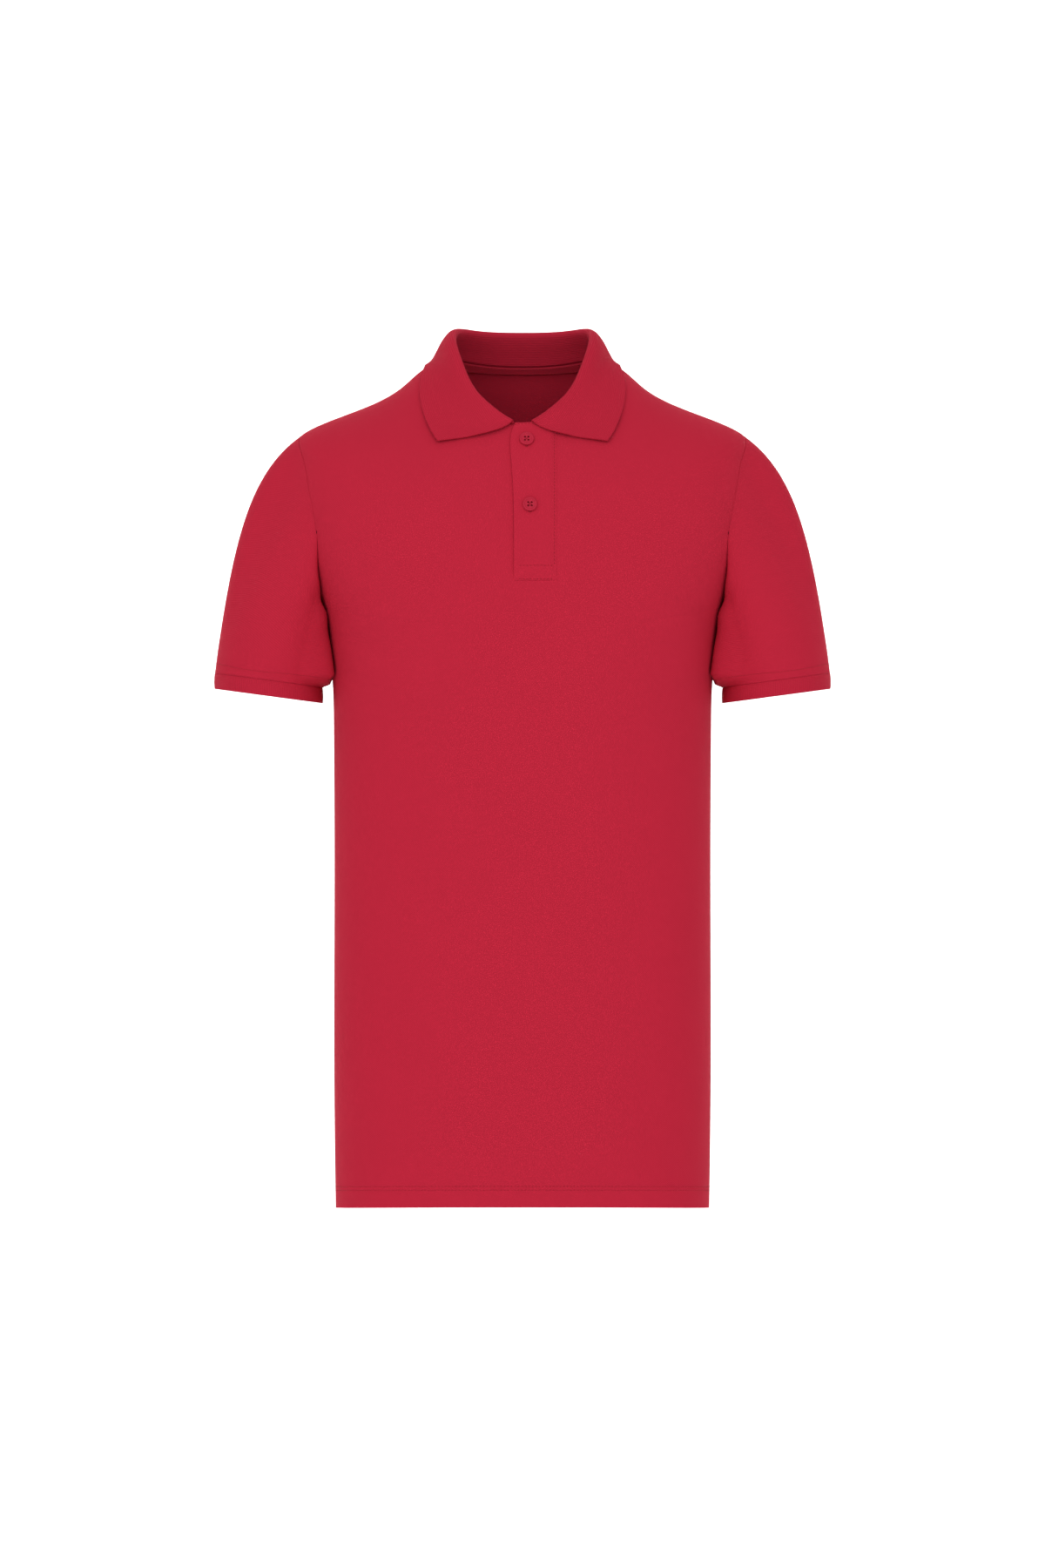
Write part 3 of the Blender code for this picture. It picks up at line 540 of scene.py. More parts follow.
def stitch_run(path, normals, length, pitch, radius, sink):
    """A row of stitches along a path, as points and corners: each is a short six-sided tube that
    follows the path, thick in its middle and thin at its ends, where it dives into the cloth."""
    run = run_along(path, 0)
    count = max(1, int((run[-1] - length) // pitch) + 1)
    start = (run[-1] - (count - 1) * pitch) / 2
    rings, sides = 5, 6
    share = np.linspace(-0.5, 0.5, rings)
    at = (start + np.arange(count) * pitch)[:, None] + share * length
    line = np.stack([np.interp(at, run, path[:, k]) for k in range(3)], axis=-1)
    up = unit(np.stack([np.interp(at, run, normals[:, k]) for k in range(3)], axis=-1))
    along = unit(line[:, -1:] - line[:, :1]) + 0 * line
    side = unit(np.cross(along, up))
    swell = 1 - (2 * np.abs(share)) ** 3
    line = line + up * (radius * (swell - 1) + radius * 0.55 - sink * (1 - swell))[:, None]
    turn = np.radians(np.arange(sides) * 360 / sides)
    thick = radius * (0.35 + 0.65 * swell)[None, :, None, None]
    rim = side[:, :, None] * np.cos(turn)[:, None] + up[:, :, None] * np.sin(turn)[:, None]
    points = line[:, :, None] + rim * thick
    index = np.arange(count * rings * sides).reshape(count, rings, sides)
    wrap = np.concatenate([index, index[:, :, :1]], axis=2)
    walls = np.stack([wrap[:, :-1, :-1], wrap[:, :-1, 1:], wrap[:, 1:, 1:], wrap[:, 1:, :-1]], axis=-1)
    first = index[:, 0][:, [[3, 2, 1, 0], [5, 4, 3, 0]]]
    last = index[:, -1][:, [[0, 1, 2, 3], [0, 3, 4, 5]]]
    corners = np.concatenate([walls.reshape(-1, 4), first.reshape(-1, 4), last.reshape(-1, 4)])
    return points.reshape(-1, 3), corners


def add_stitching(name, runs, stitch=None):
    """Rows of stitches as one piece. Each run is a path and its normals, and a stitch is its length,
    pitch, radius and sinking: the user's own, if none is given."""
    trim = bpy.context.scene.shirt_trim
    stitch = stitch or (trim.stitch_length, trim.stitch_pitch, trim.thread_radius, SEAM_STITCH_SINK)
    offset = 0
    points, corners = [], []
    for path, normals in runs:
        run_points, run_corners = stitch_run(path, normals, *stitch)
        points.append(run_points)
        corners.append(run_corners + offset)
        offset += len(run_points)
    mesh = mesh_from(name, np.concatenate(points), np.concatenate(corners))
    add_piece(name, mesh, "polyester thread")


# ---------------------------------------------------------------- panels


def armhole_rows(count):
    """Ring heights from the underarm to the shoulder tip, at equal turns round the armhole, with one of
    them at the slot's foot."""
    heights = ARMHOLE_MIDDLE_Z + ARMHOLE_HALF_HEIGHT * np.cos(np.radians(np.linspace(180, 0, count)))
    fine = np.linspace(UNDERARM_Z, SHOULDER_TIP_Z, 1500)
    foot = fine[np.argmin(np.abs(ring(fine)["front_z"] - SLOT_FOOT_Z))]
    heights[np.argmin(np.abs(heights - foot))] = foot
    return heights


def body_rows(spacing):
    """Ring heights of the panels' rows: close at the hem, then even, round the armhole and up to the
    neck."""
    hem = HEM_Z + np.array(HEM_ROWS_UP)
    side = np.arange(HEM_Z + 6.0, UNDERARM_Z - spacing / 2, spacing)
    shoulder = np.linspace(SHOULDER_TIP_Z, NECK_Z, int(100 / spacing) + 2)[1:]
    return np.concatenate([hem, side, armhole_rows(int(210 / spacing)), shoulder])


def panel_edge(side_z, front):
    """How far a panel's edge stands from the side: nothing at the side seam, and at the armhole an oval
    in height and depth."""
    share = np.clip(1 - ((side_z - ARMHOLE_MIDDLE_Z) / ARMHOLE_HALF_HEIGHT) ** 2, 0, 1)
    return angle_at_depth(side_z, ARMHOLE_HALF_DEPTH * np.sqrt(share), front)


def turned_in(grid, normals):
    """A panel whose sewn edges dip along the normals, by a depth that falls with the square of the
    distance from the edge."""
    run = run_along(grid, 1)
    dip = np.exp(-((run / SEAM_DIP_WIDTH) ** 2)) + np.exp(-(((run[:, -1:] - run) / SEAM_DIP_WIDTH) ** 2))
    return grid - normals * (SEAM_DIP * dip)[..., None]


def front_grid(spacing):
    """The front's points and the cells that stay, which leave the placket's slot open."""
    rows = body_rows(spacing)
    edge = panel_edge(rows, True)
    left, right = angle_at_x(rows, SLOT_LEFT), angle_at_x(rows, SLOT_RIGHT)
    outer, slot = int(250 / spacing), 8
    angles = np.concatenate(
        [
            across_rows(rows, 180 - edge, left, outer, first=SEAM_STRIPS),
            across_rows(rows, left, right, slot)[:, 1:],
            across_rows(rows, right, edge, outer, last=SEAM_STRIPS)[:, 1:],
        ],
        axis=1,
    )
    points, normals = cloth(rows[:, None], angles)
    grid = turned_in(points, normals)
    foot = int(np.argmin(np.abs(ring(rows)["front_z"] - SLOT_FOOT_Z)))
    slot_start = outer + len(SEAM_STRIPS)
    keep = np.ones((len(rows) - 1, angles.shape[1] - 1), bool)
    keep[foot:, slot_start : slot_start + slot] = False
    return grid, keep


def back_grid(spacing):
    """The back's points, from the viewer's right side seam round to the left one."""
    rows = body_rows(spacing)
    edge = panel_edge(rows, False)
    angles = across_rows(rows, -edge, edge - 180, int(520 / spacing), SEAM_STRIPS, SEAM_STRIPS)
    points, normals = cloth(rows[:, None], angles)
    return turned_in(points, normals)


# ---------------------------------------------------------------- sleeves and cuffs


def armhole_edge(turns):
    """Points of the left armhole and the body's normals there: an oval in height and depth laid on the
    body's side. Turn 0 is the shoulder, 90 the front, 180 under the arm and 270 the back."""
    turns = np.radians(turns)
    side_z = ARMHOLE_MIDDLE_Z + ARMHOLE_HALF_HEIGHT * np.cos(turns)
    depth = ARMHOLE_HALF_DEPTH * np.abs(np.sin(turns))
    front = np.sin(turns) > -1e-9
    angle = np.where(
        front, 180 - angle_at_depth(side_z, depth, True), angle_at_depth(side_z, depth, False) - 180
    )
    return form(side_z, angle), form_normal(side_z, angle)


def cuff_ring(centre, half, turns):
    """A tilted rounded oval round the arm."""
    turns = np.radians(turns)
    power = 2 / CUFF_ROUNDNESS
    outward = signed_power(np.cos(turns), power) * half[0]
    forward = signed_power(np.sin(turns), power) * half[1]
    tilt = math.radians(CUFF_TILT)
    return np.stack(
        [
            centre[0] - outward * math.cos(tilt),
            centre[1] - forward,
            centre[2] + outward * math.sin(tilt),
        ],
        axis=-1,
    )


def round_sleeve(turns, table, columns, names):
    """Values round the sleeve: the named lines' own, weighted by squared cosines and sines."""
    cos, sin = np.cos(np.radians(turns)), np.sin(np.radians(turns))
    weights = {
        "top": np.clip(cos, 0, 1) ** 2,
        "under": np.clip(-cos, 0, 1) ** 2,
        "front": np.clip(sin, 0, 1) ** 2,
        "back": np.clip(-sin, 0, 1) ** 2,
    }
    ways = np.stack([column(table, columns, name) for name in names], axis=-1)
    return sum(weights[row[0]][..., None] * way for row, way in zip(table, ways))


def against_side(points, turns, share):
    """Points drawn sideways to lie ARM_LIFT off the body's side, over the sleeve's inner part. The ring
    through each point's depth and height is found by a few steps of correction."""
    front = points[..., 1] <= 0
    depth, height = np.abs(points[..., 1]), points[..., 2]
    side_z = height
    for _ in range(6):
        size = ring(side_z)
        angle = np.where(front, angle_at_depth(side_z, depth, True), angle_at_depth(side_z, depth, False))
        middle_z = np.where(front, size["front_z"], size["back_z"])
        side_z = height - (middle_z - side_z) * np.sin(np.radians(angle)) ** 2
    size = ring(side_z)
    body_x = -size["side_x"] * np.cos(np.radians(angle)) ** (2 / size["roundness"])
    near = 1 - smooth_step(*ARM_TURNS, np.abs(turns - 180))
    near = near * smooth_step(*ARM_RISE, share) * (1 - smooth_step(*ARM_TUCK, share))
    draw = near * np.clip(body_x - ARM_LIFT - points[..., 0], 0, None)
    return points + draw[..., None] * np.array([1.0, 0.0, 0.0])


def sleeve_form(share, turns):
    """Points of the left sleeve: on each turn a cubic from the armhole to the cuff seam, which leaves
    along the body's surface, swollen a little above the cuff, tucked in at it and drawn to the body."""
    leave = round_sleeve(turns, SLEEVE_LINES, SLEEVE_LINE_COLUMNS, ("start_x", "start_y", "start_z"))
    arrive = round_sleeve(turns, SLEEVE_LINES, SLEEVE_LINE_COLUMNS, ("end_x", "end_y", "end_z"))
    start, normals = armhole_edge(turns)
    above = np.clip(np.cos(np.radians(turns)), 0, 1)
    below = np.clip(-np.cos(np.radians(turns)), 0, 1)
    flat = 1 - above**6 - below**3
    leave = leave - normals * (np.sum(leave * normals, axis=-1) * flat)[..., None]
    start[..., 0] -= UNDERARM_OUT * below**8
    end = cuff_ring(CUFF_SEAM_CENTRE, CUFF_SEAM_HALF, turns)
    out = round_sleeve(turns, BLOUSE, BLOUSE_COLUMNS, ("out",))[..., 0]
    swell = out * smooth_step(*BLOUSE_RISE, share) * (1 - smooth_step(*BLOUSE_TUCK, share))
    outward = unit(end - np.array(CUFF_SEAM_CENTRE))
    points = hermite(start, end, leave, arrive, share) + outward * swell[..., None]
    return against_side(points, turns, share)


def sleeve_length(turns):
    """Length of the sleeve on each turn."""
    share = np.linspace(0, 1, 25)[:, None] * np.ones(len(turns))
    return run_along(sleeve_form(share, turns), 0)[-1]


def sleeve_cloth(share, turns):
    """The dressed sleeve: its form moved along its normals by its creases and its turned-in top edge."""
    step_share, step_turn = 0.004, 0.5
    low, high = np.clip(share - step_share, 0, 1), np.clip(share + step_share, 0, 1)
    down = sleeve_form(high, turns) - sleeve_form(low, turns)
    around = sleeve_form(share, turns + step_turn) - sleeve_form(share, turns - step_turn)
    normals = unit(np.cross(around, down))
    points = sleeve_form(share, turns)
    along = share * sleeve_length(np.ravel(turns)).reshape(np.shape(turns))
    relief = creased(turns, along, SLEEVE_CREASES) * smooth_step(0.0, 8.0, along)
    relief = relief - SEAM_DIP * np.exp(-((along / SEAM_DIP_WIDTH) ** 2))
    relief = relief - ARM_SEAM_DIP * np.exp(-(((turns - 180) / ARM_SEAM_WIDTH) ** 2))
    return points + normals * relief[..., None], normals


def sleeve_grid(spacing):
    """The left sleeve's points, rows closer at the armhole and where it tucks into the cuff, and
    columns closer at the seam under the arm."""
    even, seam = np.linspace(0, 360, int(430 / spacing)), 180 + np.linspace(-4, 4, 9)
    turns = np.unique(np.concatenate([even, seam]))[:-1]
    body = np.linspace(SLEEVE_HEAD_END, SLEEVE_TUCK, int(190 / spacing))
    tuck = np.linspace(SLEEVE_TUCK, 1.0, 9)[1:]
    share = np.concatenate([SLEEVE_HEAD, body, tuck])[:, None] * np.ones(len(turns))
    return sleeve_cloth(share, turns)[0]


def cuff_grid(spacing):
    """The left cuff: from oval to oval in a straight line, with a hair's swell between its edges, and a
    seam allowance above them that lies inside the sleeve's end."""
    turns = np.linspace(0, 360, int(430 / spacing))[:-1]
    seam, edge = np.array(CUFF_SEAM_CENTRE), np.array(CUFF_EDGE_CENTRE)
    way = unit(edge - seam)
    share = np.linspace(0, 1, 17)
    top = cuff_ring(seam + way * CUFF_TOP_DOWN, CUFF_SEAM_HALF, turns)
    foot = cuff_ring(edge, CUFF_EDGE_HALF, turns)
    grid = top + (foot - top) * share[:, None, None]
    swell = CUFF_SWELL * np.sin(np.pi * share) ** 0.6
    grid = grid + unit(grid - (seam + edge) / 2) * swell[:, None, None]
    tucked = [cuff_ring(seam - way * up, np.array(CUFF_SEAM_HALF) - into, turns) for up, into in CUFF_TUCK]
    return np.concatenate([np.stack(tucked), grid])


# ---------------------------------------------------------------- collar, tape and placket


def collar_half(along):
    """Every column of the collar table along one half, carried on past the middle of the back as its
    own mirror image so that the curve runs smoothly through it."""
    knots = column(COLLAR, COLLAR_COLUMNS, "along")
    far = 2 - knots[-2::-1]
    read = {}
    for name in COLLAR_COLUMNS[1:]:
        values = column(COLLAR, COLLAR_COLUMNS, name)
        beyond = values[-2::-1]
        if name == "fold_x":
            beyond = -beyond
        if name in ("seam_angle", "edge_angle"):
            beyond = -180 - beyond
        read[name] = smooth(np.concatenate([knots, far]), np.concatenate([values, beyond]), along)
    return read


def from_left(angle):
    """An angle counted from the left side, as the body's form counts it."""
    turned = 180 - angle
    return np.where(turned > 180, turned - 360, turned)


def laid(points, lift):
    """Points pushed softly outwards where they lie less than `lift` above the body, one station of the
    collar at a time."""
    side_z, angle = np.meshgrid(
        np.linspace(LEAF_GROUND_Z, NECK_Z, 40), np.arange(-179.0, 180.0, 2.0), indexing="ij"
    )
    ground = form(side_z, angle).reshape(-1, 3)
    normals = form_normal(side_z, angle).reshape(-1, 3)
    nearest = np.stack([np.argmin(((ground - row[:, None]) ** 2).sum(axis=2), axis=1) for row in points])
    height = np.sum((points - ground[nearest]) * normals[nearest], axis=-1)
    short = np.clip((lift - height) / LEAF_SOFTNESS, -30, 30)
    return points + normals[nearest] * (LEAF_SOFTNESS * np.log1p(np.exp(short)))[..., None]


def collar_grid(along_count, across_count, wall):
    """The collar strip's middle: a cubic up the stand, an arc over the roll and a cubic down the leaf
    to its edge, which lies on the body. The coarse strip is made even-sided and splined to a fine one."""
    along = np.linspace(0, 2, 2 * COLLAR_HALF_STEPS + 1)
    read = collar_half(along)
    seam_angle, edge_angle = from_left(read["seam_angle"]), from_left(read["edge_angle"])
    seam = form(NECK_Z, seam_angle)
    fold = np.stack([read["fold_x"], read["fold_y"], read["fold_z"]], axis=-1)
    edge = form(read["edge_ring_z"], edge_angle)
    edge = edge + form_normal(read["edge_ring_z"], edge_angle) * LEAF_LIFT
    inward = -form_normal(np.full_like(seam_angle, NECK_Z), seam_angle)
    beyond = unit(form(NECK_Z, seam_angle) - form(NECK_Z - 2.0, seam_angle))
    run = unit(np.gradient(fold, axis=0))
    up = fold - seam
    up = unit(up - run * np.sum(up * run, axis=-1, keepdims=True))
    in_line = np.sum(up * beyond, axis=-1, keepdims=True)
    clear = COLLAR_CLEAR + wall / 2 * np.sqrt(np.clip(1 - in_line**2, 0, 1))
    seam = seam + beyond * clear + inward * COLLAR_SEAM_IN
    out = unit(np.cross(up, run))
    roll = read["roll"][:, None]
    centre = fold - up * roll
    turn = np.radians(read["turn"][:, None] * np.linspace(0, 1, ROLL_STEPS + 1))[:, :, None]
    arc = centre[:, None] + roll[:, None] * (up[:, None] * np.sin(turn) - out[:, None] * np.cos(turn))
    rise = np.linalg.norm(arc[:, 0] - seam, axis=-1, keepdims=True)
    stand_share = np.linspace(0, 1, STAND_STEPS + 1)[None, :-1]
    stand = hermite(seam[:, None], arc[:, :1], (up * rise)[:, None], (up * rise)[:, None], stand_share)
    last = turn[:, -1]
    leave = up * np.cos(last) + out * np.sin(last)
    fall = np.linalg.norm(edge - arc[:, -1], axis=-1, keepdims=True)
    below = form(read["edge_ring_z"] - 2.0, edge_angle) - form(read["edge_ring_z"] + 2.0, edge_angle)
    arrive = unit(unit(below) * read["slope"][:, None] + unit(edge - arc[:, -1]))
    share = np.linspace(0, 1, LEAF_STEPS + 1)[None, 1:]
    leaf = hermite(
        arc[:, -1:],
        edge[:, None],
        (leave * fall * read["leave"][:, None])[:, None],
        (arrive * fall)[:, None] * LEAF_ARRIVE,
        share,
    )
    near_placket = (1 - smooth_step(*PLACKET_REACH, np.abs(leaf[..., 0]))) * (leaf[..., 1] < 0)
    from_tip = np.clip(np.minimum(along, 2 - along), 0, 1)[:, None]
    tip = TIP_LIFT * (1 - smooth_step(0.0, TIP_ROUND, from_tip)) * smooth_step(TIP_DOWN, 1.0, share)
    lift = LEAF_LIFT + (LEAF_LIFT_OVER_PLACKET - LEAF_LIFT) * near_placket + tip * (1 - near_placket)
    coarse = np.concatenate([stand, arc, laid(leaf, lift)], axis=1)
    coarse = (coarse + coarse[::-1] * SIDES[1][1]) / 2
    fine = smooth(along, coarse, np.linspace(0, 2, along_count))
    knots = run_along(coarse, 1).mean(axis=0)
    stops = np.linspace(0, knots[-1], across_count)
    return smooth(knots, fine.transpose(1, 0, 2), stops).transpose(1, 0, 2)


def front_heights(z, x):
    """Side heights of the rings that pass the given points of the front view: each is found between the
    two of many rings that pass above and below its point."""
    fine = np.linspace(UNDERARM_Z, NECK_Z, 600)
    want = np.ravel(z)
    heights = form(fine[:, None], angle_at_x(fine[:, None], np.ravel(x)[None]))[..., 2]
    above = np.clip((heights < want).sum(axis=0), 1, len(fine) - 1)
    point = np.arange(len(want))
    low, high = heights[above - 1, point], heights[above, point]
    share = np.clip((want - low) / (high - low), 0, 1)
    return (fine[above - 1] + (fine[above] - fine[above - 1]) * share).reshape(np.shape(z))


def front_point(x, z, out):
    """Points of the front by their place in the front view, moved out from the cloth, and normals."""
    x, z = np.broadcast_arrays(np.asarray(x, float), np.asarray(z, float))
    side_z = front_heights(z, x)
    return cloth(side_z, angle_at_x(side_z, x), out)


def placket_free_edge(z):
    """The upper strip's free edge: its x at each height."""
    knots = column(PLACKET_EDGE, PLACKET_EDGE_COLUMNS, "z")
    edges = column(PLACKET_EDGE, PLACKET_EDGE_COLUMNS, "x")
    return smooth(knots, edges, np.clip(z, knots[0], knots[-1]))


def placket_out(x, z):
    """How far the upper strip stands from the front: its full height at the free edge, and almost flush
    where it is sewn down, at the right edge and the foot."""
    right = smooth_step(0.0, 7.0, PLACKET_RIGHT - x)
    foot = smooth_step(0.0, 11.0, z - PLACKET_FOOT_Z)
    return PLACKET_FLUSH + (PLACKET_OUT - PLACKET_FLUSH) * right * foot


def placket_grid(foot_z, left_edge, right_x, upper, rows_count, wide_count):
    """A strip on the front from its foot to the neck edge. The upper strip's free edge bends in a
    little, and its top stands up in a low arch."""
    foot = float(front_heights(np.array([foot_z]), np.array([PLACKET_MIDDLE]))[0])
    rings = np.linspace(foot, NECK_Z - PLACKET_TOP_IN, rows_count)
    middle_z = ring(rings)["front_z"]
    ease = 0.5 - 0.5 * np.cos(np.pi * np.linspace(0, 1, wide_count))
    left = left_edge(middle_z)[:, None]
    x = left + (right_x - left) * ease
    side_z = rings[:, None] + 0 * x
    points, normals = cloth(side_z, angle_at_x(side_z, x))
    if not upper:
        return points
    bend = PLACKET_EDGE_BEND * np.exp(-(((x - left) / PLACKET_EDGE_WIDTH) ** 2))
    points = points + normals * (placket_out(x, points[..., 2]) - bend)[..., None]
    rise = ARCH_RISE * np.clip(1 - ((x - ARCH_MIDDLE) / ARCH_HALF) ** 2, 0, 1)
    rise = rise * smooth_step(ARCH_FROM_Z, float(middle_z[-1]), points[..., 2])
    upwards = unit(points[-1:] - points[-4:-3])
    return points + upwards * rise[..., None]


def on_placket(x, z):
    """Points of the upper strip's face by their place in the front view, and their normals."""
    x, z = np.broadcast_arrays(np.asarray(x, float), np.asarray(z, float))
    return front_point(x, z, placket_out(x, z))


# ---------------------------------------------------------------- materials


def linear(code):
    """An sRGB hex colour as linear red, green, blue and alpha."""
    value = np.array([int(code[i : i + 2], 16) for i in (1, 3, 5)]) / 255
    straight = np.where(value <= 0.04045, value / 12.92, ((value + 0.055) / 1.055) ** 2.4)
    return (*straight.tolist(), 1.0)


def set_inputs(tree, node, inputs):
    """Sets a node's inputs: each is a value, a socket to link, or a node whose first output is linked."""
    for key, value in inputs.items():
        if isinstance(value, bpy.types.Node):
            value = value.outputs[0]
        if isinstance(value, bpy.types.NodeSocket):
            tree.links.new(value, node.inputs[key])
        else:
            node.inputs[key].default_value = value


def add_node(tree, kind, settings=None, inputs=None):
    """Adds a node with its own settings and its inputs."""
    node = tree.nodes.new(kind)
    for name, value in (settings or {}).items():
        setattr(node, name, value)
    set_inputs(tree, node, inputs or {})
    return node


def new_material(name):
    """An empty node material with its shader, which is joined to the output."""
    material = bpy.data.materials.new(name)
    material.use_nodes = True
    return material, material.node_tree, material.node_tree.nodes["Principled BSDF"]


def toned(colour, by):
    """A colour whose light is multiplied."""
    return (*[channel * by for channel in colour[:3]], 1.0)


def waves(tree, coordinate, period):
    """The sine of a distance in metres, one wave for each period."""
    rate = 2 * math.pi / period
    turn = add_node(tree, "ShaderNodeMath", {"operation": "MULTIPLY"}, {0: coordinate, 1: rate})
    return add_node(tree, "ShaderNodeMath", {"operation": "SINE"}, {0: turn})


# How cotton yarn takes the light: a matt fibre, with almost no mirror and a little sheen
COTTON = {"IOR": 1.4, "Specular IOR Level": 0.08, "Sheen Weight": 0.04, "Sheen Roughness": 0.45}
SHEEN_TONE = 1.5


def cotton_pique(name, colour, wide, tall):
    """Cotton pique: a knit of small dimples in staggered rows, matt, with a soft bloom of fibre ends.

    The eye gets a dry, even colour with a fine tone of hairs, shade painted darker into the dimples and
    lighter on their tops, and paler edges where the cloth turns away."""
    material, tree, shader = new_material(name)
    spot = add_node(tree, "ShaderNodeUVMap", {"uv_map": "cloth"})
    parts = add_node(tree, "ShaderNodeSeparateXYZ", inputs={0: spot})
    across, up = waves(tree, parts.outputs[0], wide), waves(tree, parts.outputs[1], tall)
    cells = add_node(tree, "ShaderNodeMath", {"operation": "MULTIPLY"}, {0: across, 1: up})
    # Yarn hairs, 0.35 mm apart, and the slow unevenness of a dyed cloth, 60 mm across
    hairs = add_node(
        tree, "ShaderNodeTexNoise", inputs={"Vector": spot, "Scale": 1 / 0.00035, "Detail": 2.0}
    )
    slow = add_node(tree, "ShaderNodeTexNoise", inputs={"Vector": spot, "Scale": 1 / 0.06, "Detail": 3.0})
    depth = add_node(tree, "ShaderNodeMath", {"operation": "MULTIPLY_ADD"}, {0: cells, 1: 0.35, 2: 0.5})
    dimple_depth_and_hairs = add_node(tree, "ShaderNodeMath", {"operation": "MULTIPLY_ADD"}, {0: hairs, 1: 0.5, 2: depth})
    tone = add_node(tree, "ShaderNodeMapRange", inputs={0: dimple_depth_and_hairs, 1: 0.2, 2: 1.3})
    # Painted shade: the colour is darker where the dimples sink and lighter where they rise, mixed with the
    # hairs' random tone
    near = add_node(
        tree,
        "ShaderNodeMix",
        {"data_type": "RGBA"},
        {0: tone, 6: toned(colour, 0.84), 7: toned(colour, 1.14)},
    )
    far = add_node(
        tree,
        "ShaderNodeMix",
        {"data_type": "RGBA"},
        {0: slow, 6: toned(colour, 0.94), 7: toned(colour, 1.06)},
    )
    both = add_node(
        tree,
        "ShaderNodeMix",
        {"data_type": "RGBA"},
        {0: 0.4, 6: near.outputs[2], 7: far.outputs[2]},
    )
    bump = add_node(tree, "ShaderNodeBump", inputs={"Strength": 0.5, "Distance": 0.00022, "Height": dimple_depth_and_hairs})
    look = {"Base Color": both.outputs[2], "Normal": bump, "Sheen Tint": toned(colour, SHEEN_TONE)}
    set_inputs(tree, shader, {**COTTON, **look, "Roughness": 0.92})
    return material


def rib_knit(name, colour, pitch):
    """Flat-knit cotton rib: fine upright ribs and grooves across the strip.

    The eye gets a slightly deeper colour than the body's, with fine lines square to the edge: shade painted
    darker into the grooves between the ribs and loops."""
    material, tree, shader = new_material(name)
    spot = add_node(tree, "ShaderNodeUVMap", {"uv_map": "cloth"})
    parts = add_node(tree, "ShaderNodeSeparateXYZ", inputs={0: spot})
    ribs = waves(tree, parts.outputs[0], pitch)
    # Loops of yarn, 1.1 mm tall, and hairs 0.4 mm apart
    loops = waves(tree, parts.outputs[1], 0.0011)
    hairs = add_node(
        tree, "ShaderNodeTexNoise", inputs={"Vector": spot, "Scale": 1 / 0.0004, "Detail": 2.0}
    )
    knit = add_node(tree, "ShaderNodeMath", {"operation": "MULTIPLY_ADD"}, {0: loops, 1: 0.18, 2: hairs})
    height = add_node(tree, "ShaderNodeMath", {"operation": "MULTIPLY_ADD"}, {0: ribs, 1: 0.45, 2: knit})
    tone = add_node(tree, "ShaderNodeMapRange", inputs={0: height, 1: -0.1, 2: 1.1})
    # Painted shade: the colour is darker down in the grooves between ribs and loops and lighter on their
    # tops, with the hairs' random tone
    shade = add_node(
        tree,
        "ShaderNodeMix",
        {"data_type": "RGBA"},
        {0: tone, 6: toned(colour, 0.86), 7: toned(colour, 1.1)},
    )
    bump = add_node(tree, "ShaderNodeBump", inputs={"Strength": 0.55, "Distance": 0.00025, "Height": height})
    look = {"Base Color": shade.outputs[2], "Normal": bump, "Sheen Tint": toned(colour, SHEEN_TONE)}
    set_inputs(tree, shader, {**COTTON, **look, "Roughness": 0.9})
    return material


def twill_tape(name, colour):
    """Cotton twill tape: slanting lines 0.8 mm apart on a flat band.

    The eye gets a flatter strip than the knit round it, with a little more of a mirror, and shade painted
    darker into the grooves between its slanting lines."""
    material, tree, shader = new_material(name)
    spot = add_node(tree, "ShaderNodeUVMap", {"uv_map": "cloth"})
    parts = add_node(tree, "ShaderNodeSeparateXYZ", inputs={0: spot})
    slant = add_node(
        tree, "ShaderNodeMath", {"operation": "ADD"}, {0: parts.outputs[0], 1: parts.outputs[1]}
    )
    tone = add_node(
        tree, "ShaderNodeMapRange", inputs={0: waves(tree, slant.outputs[0], 0.0008), 1: -1.0, 2: 1.0}
    )
    # Painted shade: the colour is darker in the twill's grooves and lighter on its ridges
    shade = add_node(
        tree,
        "ShaderNodeMix",
        {"data_type": "RGBA"},
        {0: tone, 6: toned(colour, 0.88), 7: toned(colour, 1.1)},
    )
    bump = add_node(tree, "ShaderNodeBump", inputs={"Strength": 0.4, "Distance": 0.00015, "Height": tone})
    look = {"Base Color": shade.outputs[2], "Normal": bump}
    set_inputs(tree, shader, {**look, "Roughness": 0.85, "Specular IOR Level": 0.15})
    return material


def polyester_thread(name, colour):
    """Spun polyester sewing thread, dyed near the cloth's colour and set darker as painted shade along the
    stitch rows: a little smoother than cotton, with a fine twist.
    """
    material, tree, shader = new_material(name)
    place = add_node(tree, "ShaderNodeTexCoord").outputs["Object"]
    twist = add_node(tree, "ShaderNodeTexNoise", inputs={"Vector": place, "Scale": 1 / 0.0005})
    shade = add_node(
        tree,
        "ShaderNodeMix",
        {"data_type": "RGBA"},
        {0: twist, 6: toned(colour, 0.85), 7: toned(colour, 1.12)},
    )
    look = {"Base Color": shade.outputs[2], "Roughness": 0.75, "Specular IOR Level": 0.2}
    set_inputs(tree, shader, look)
    return material


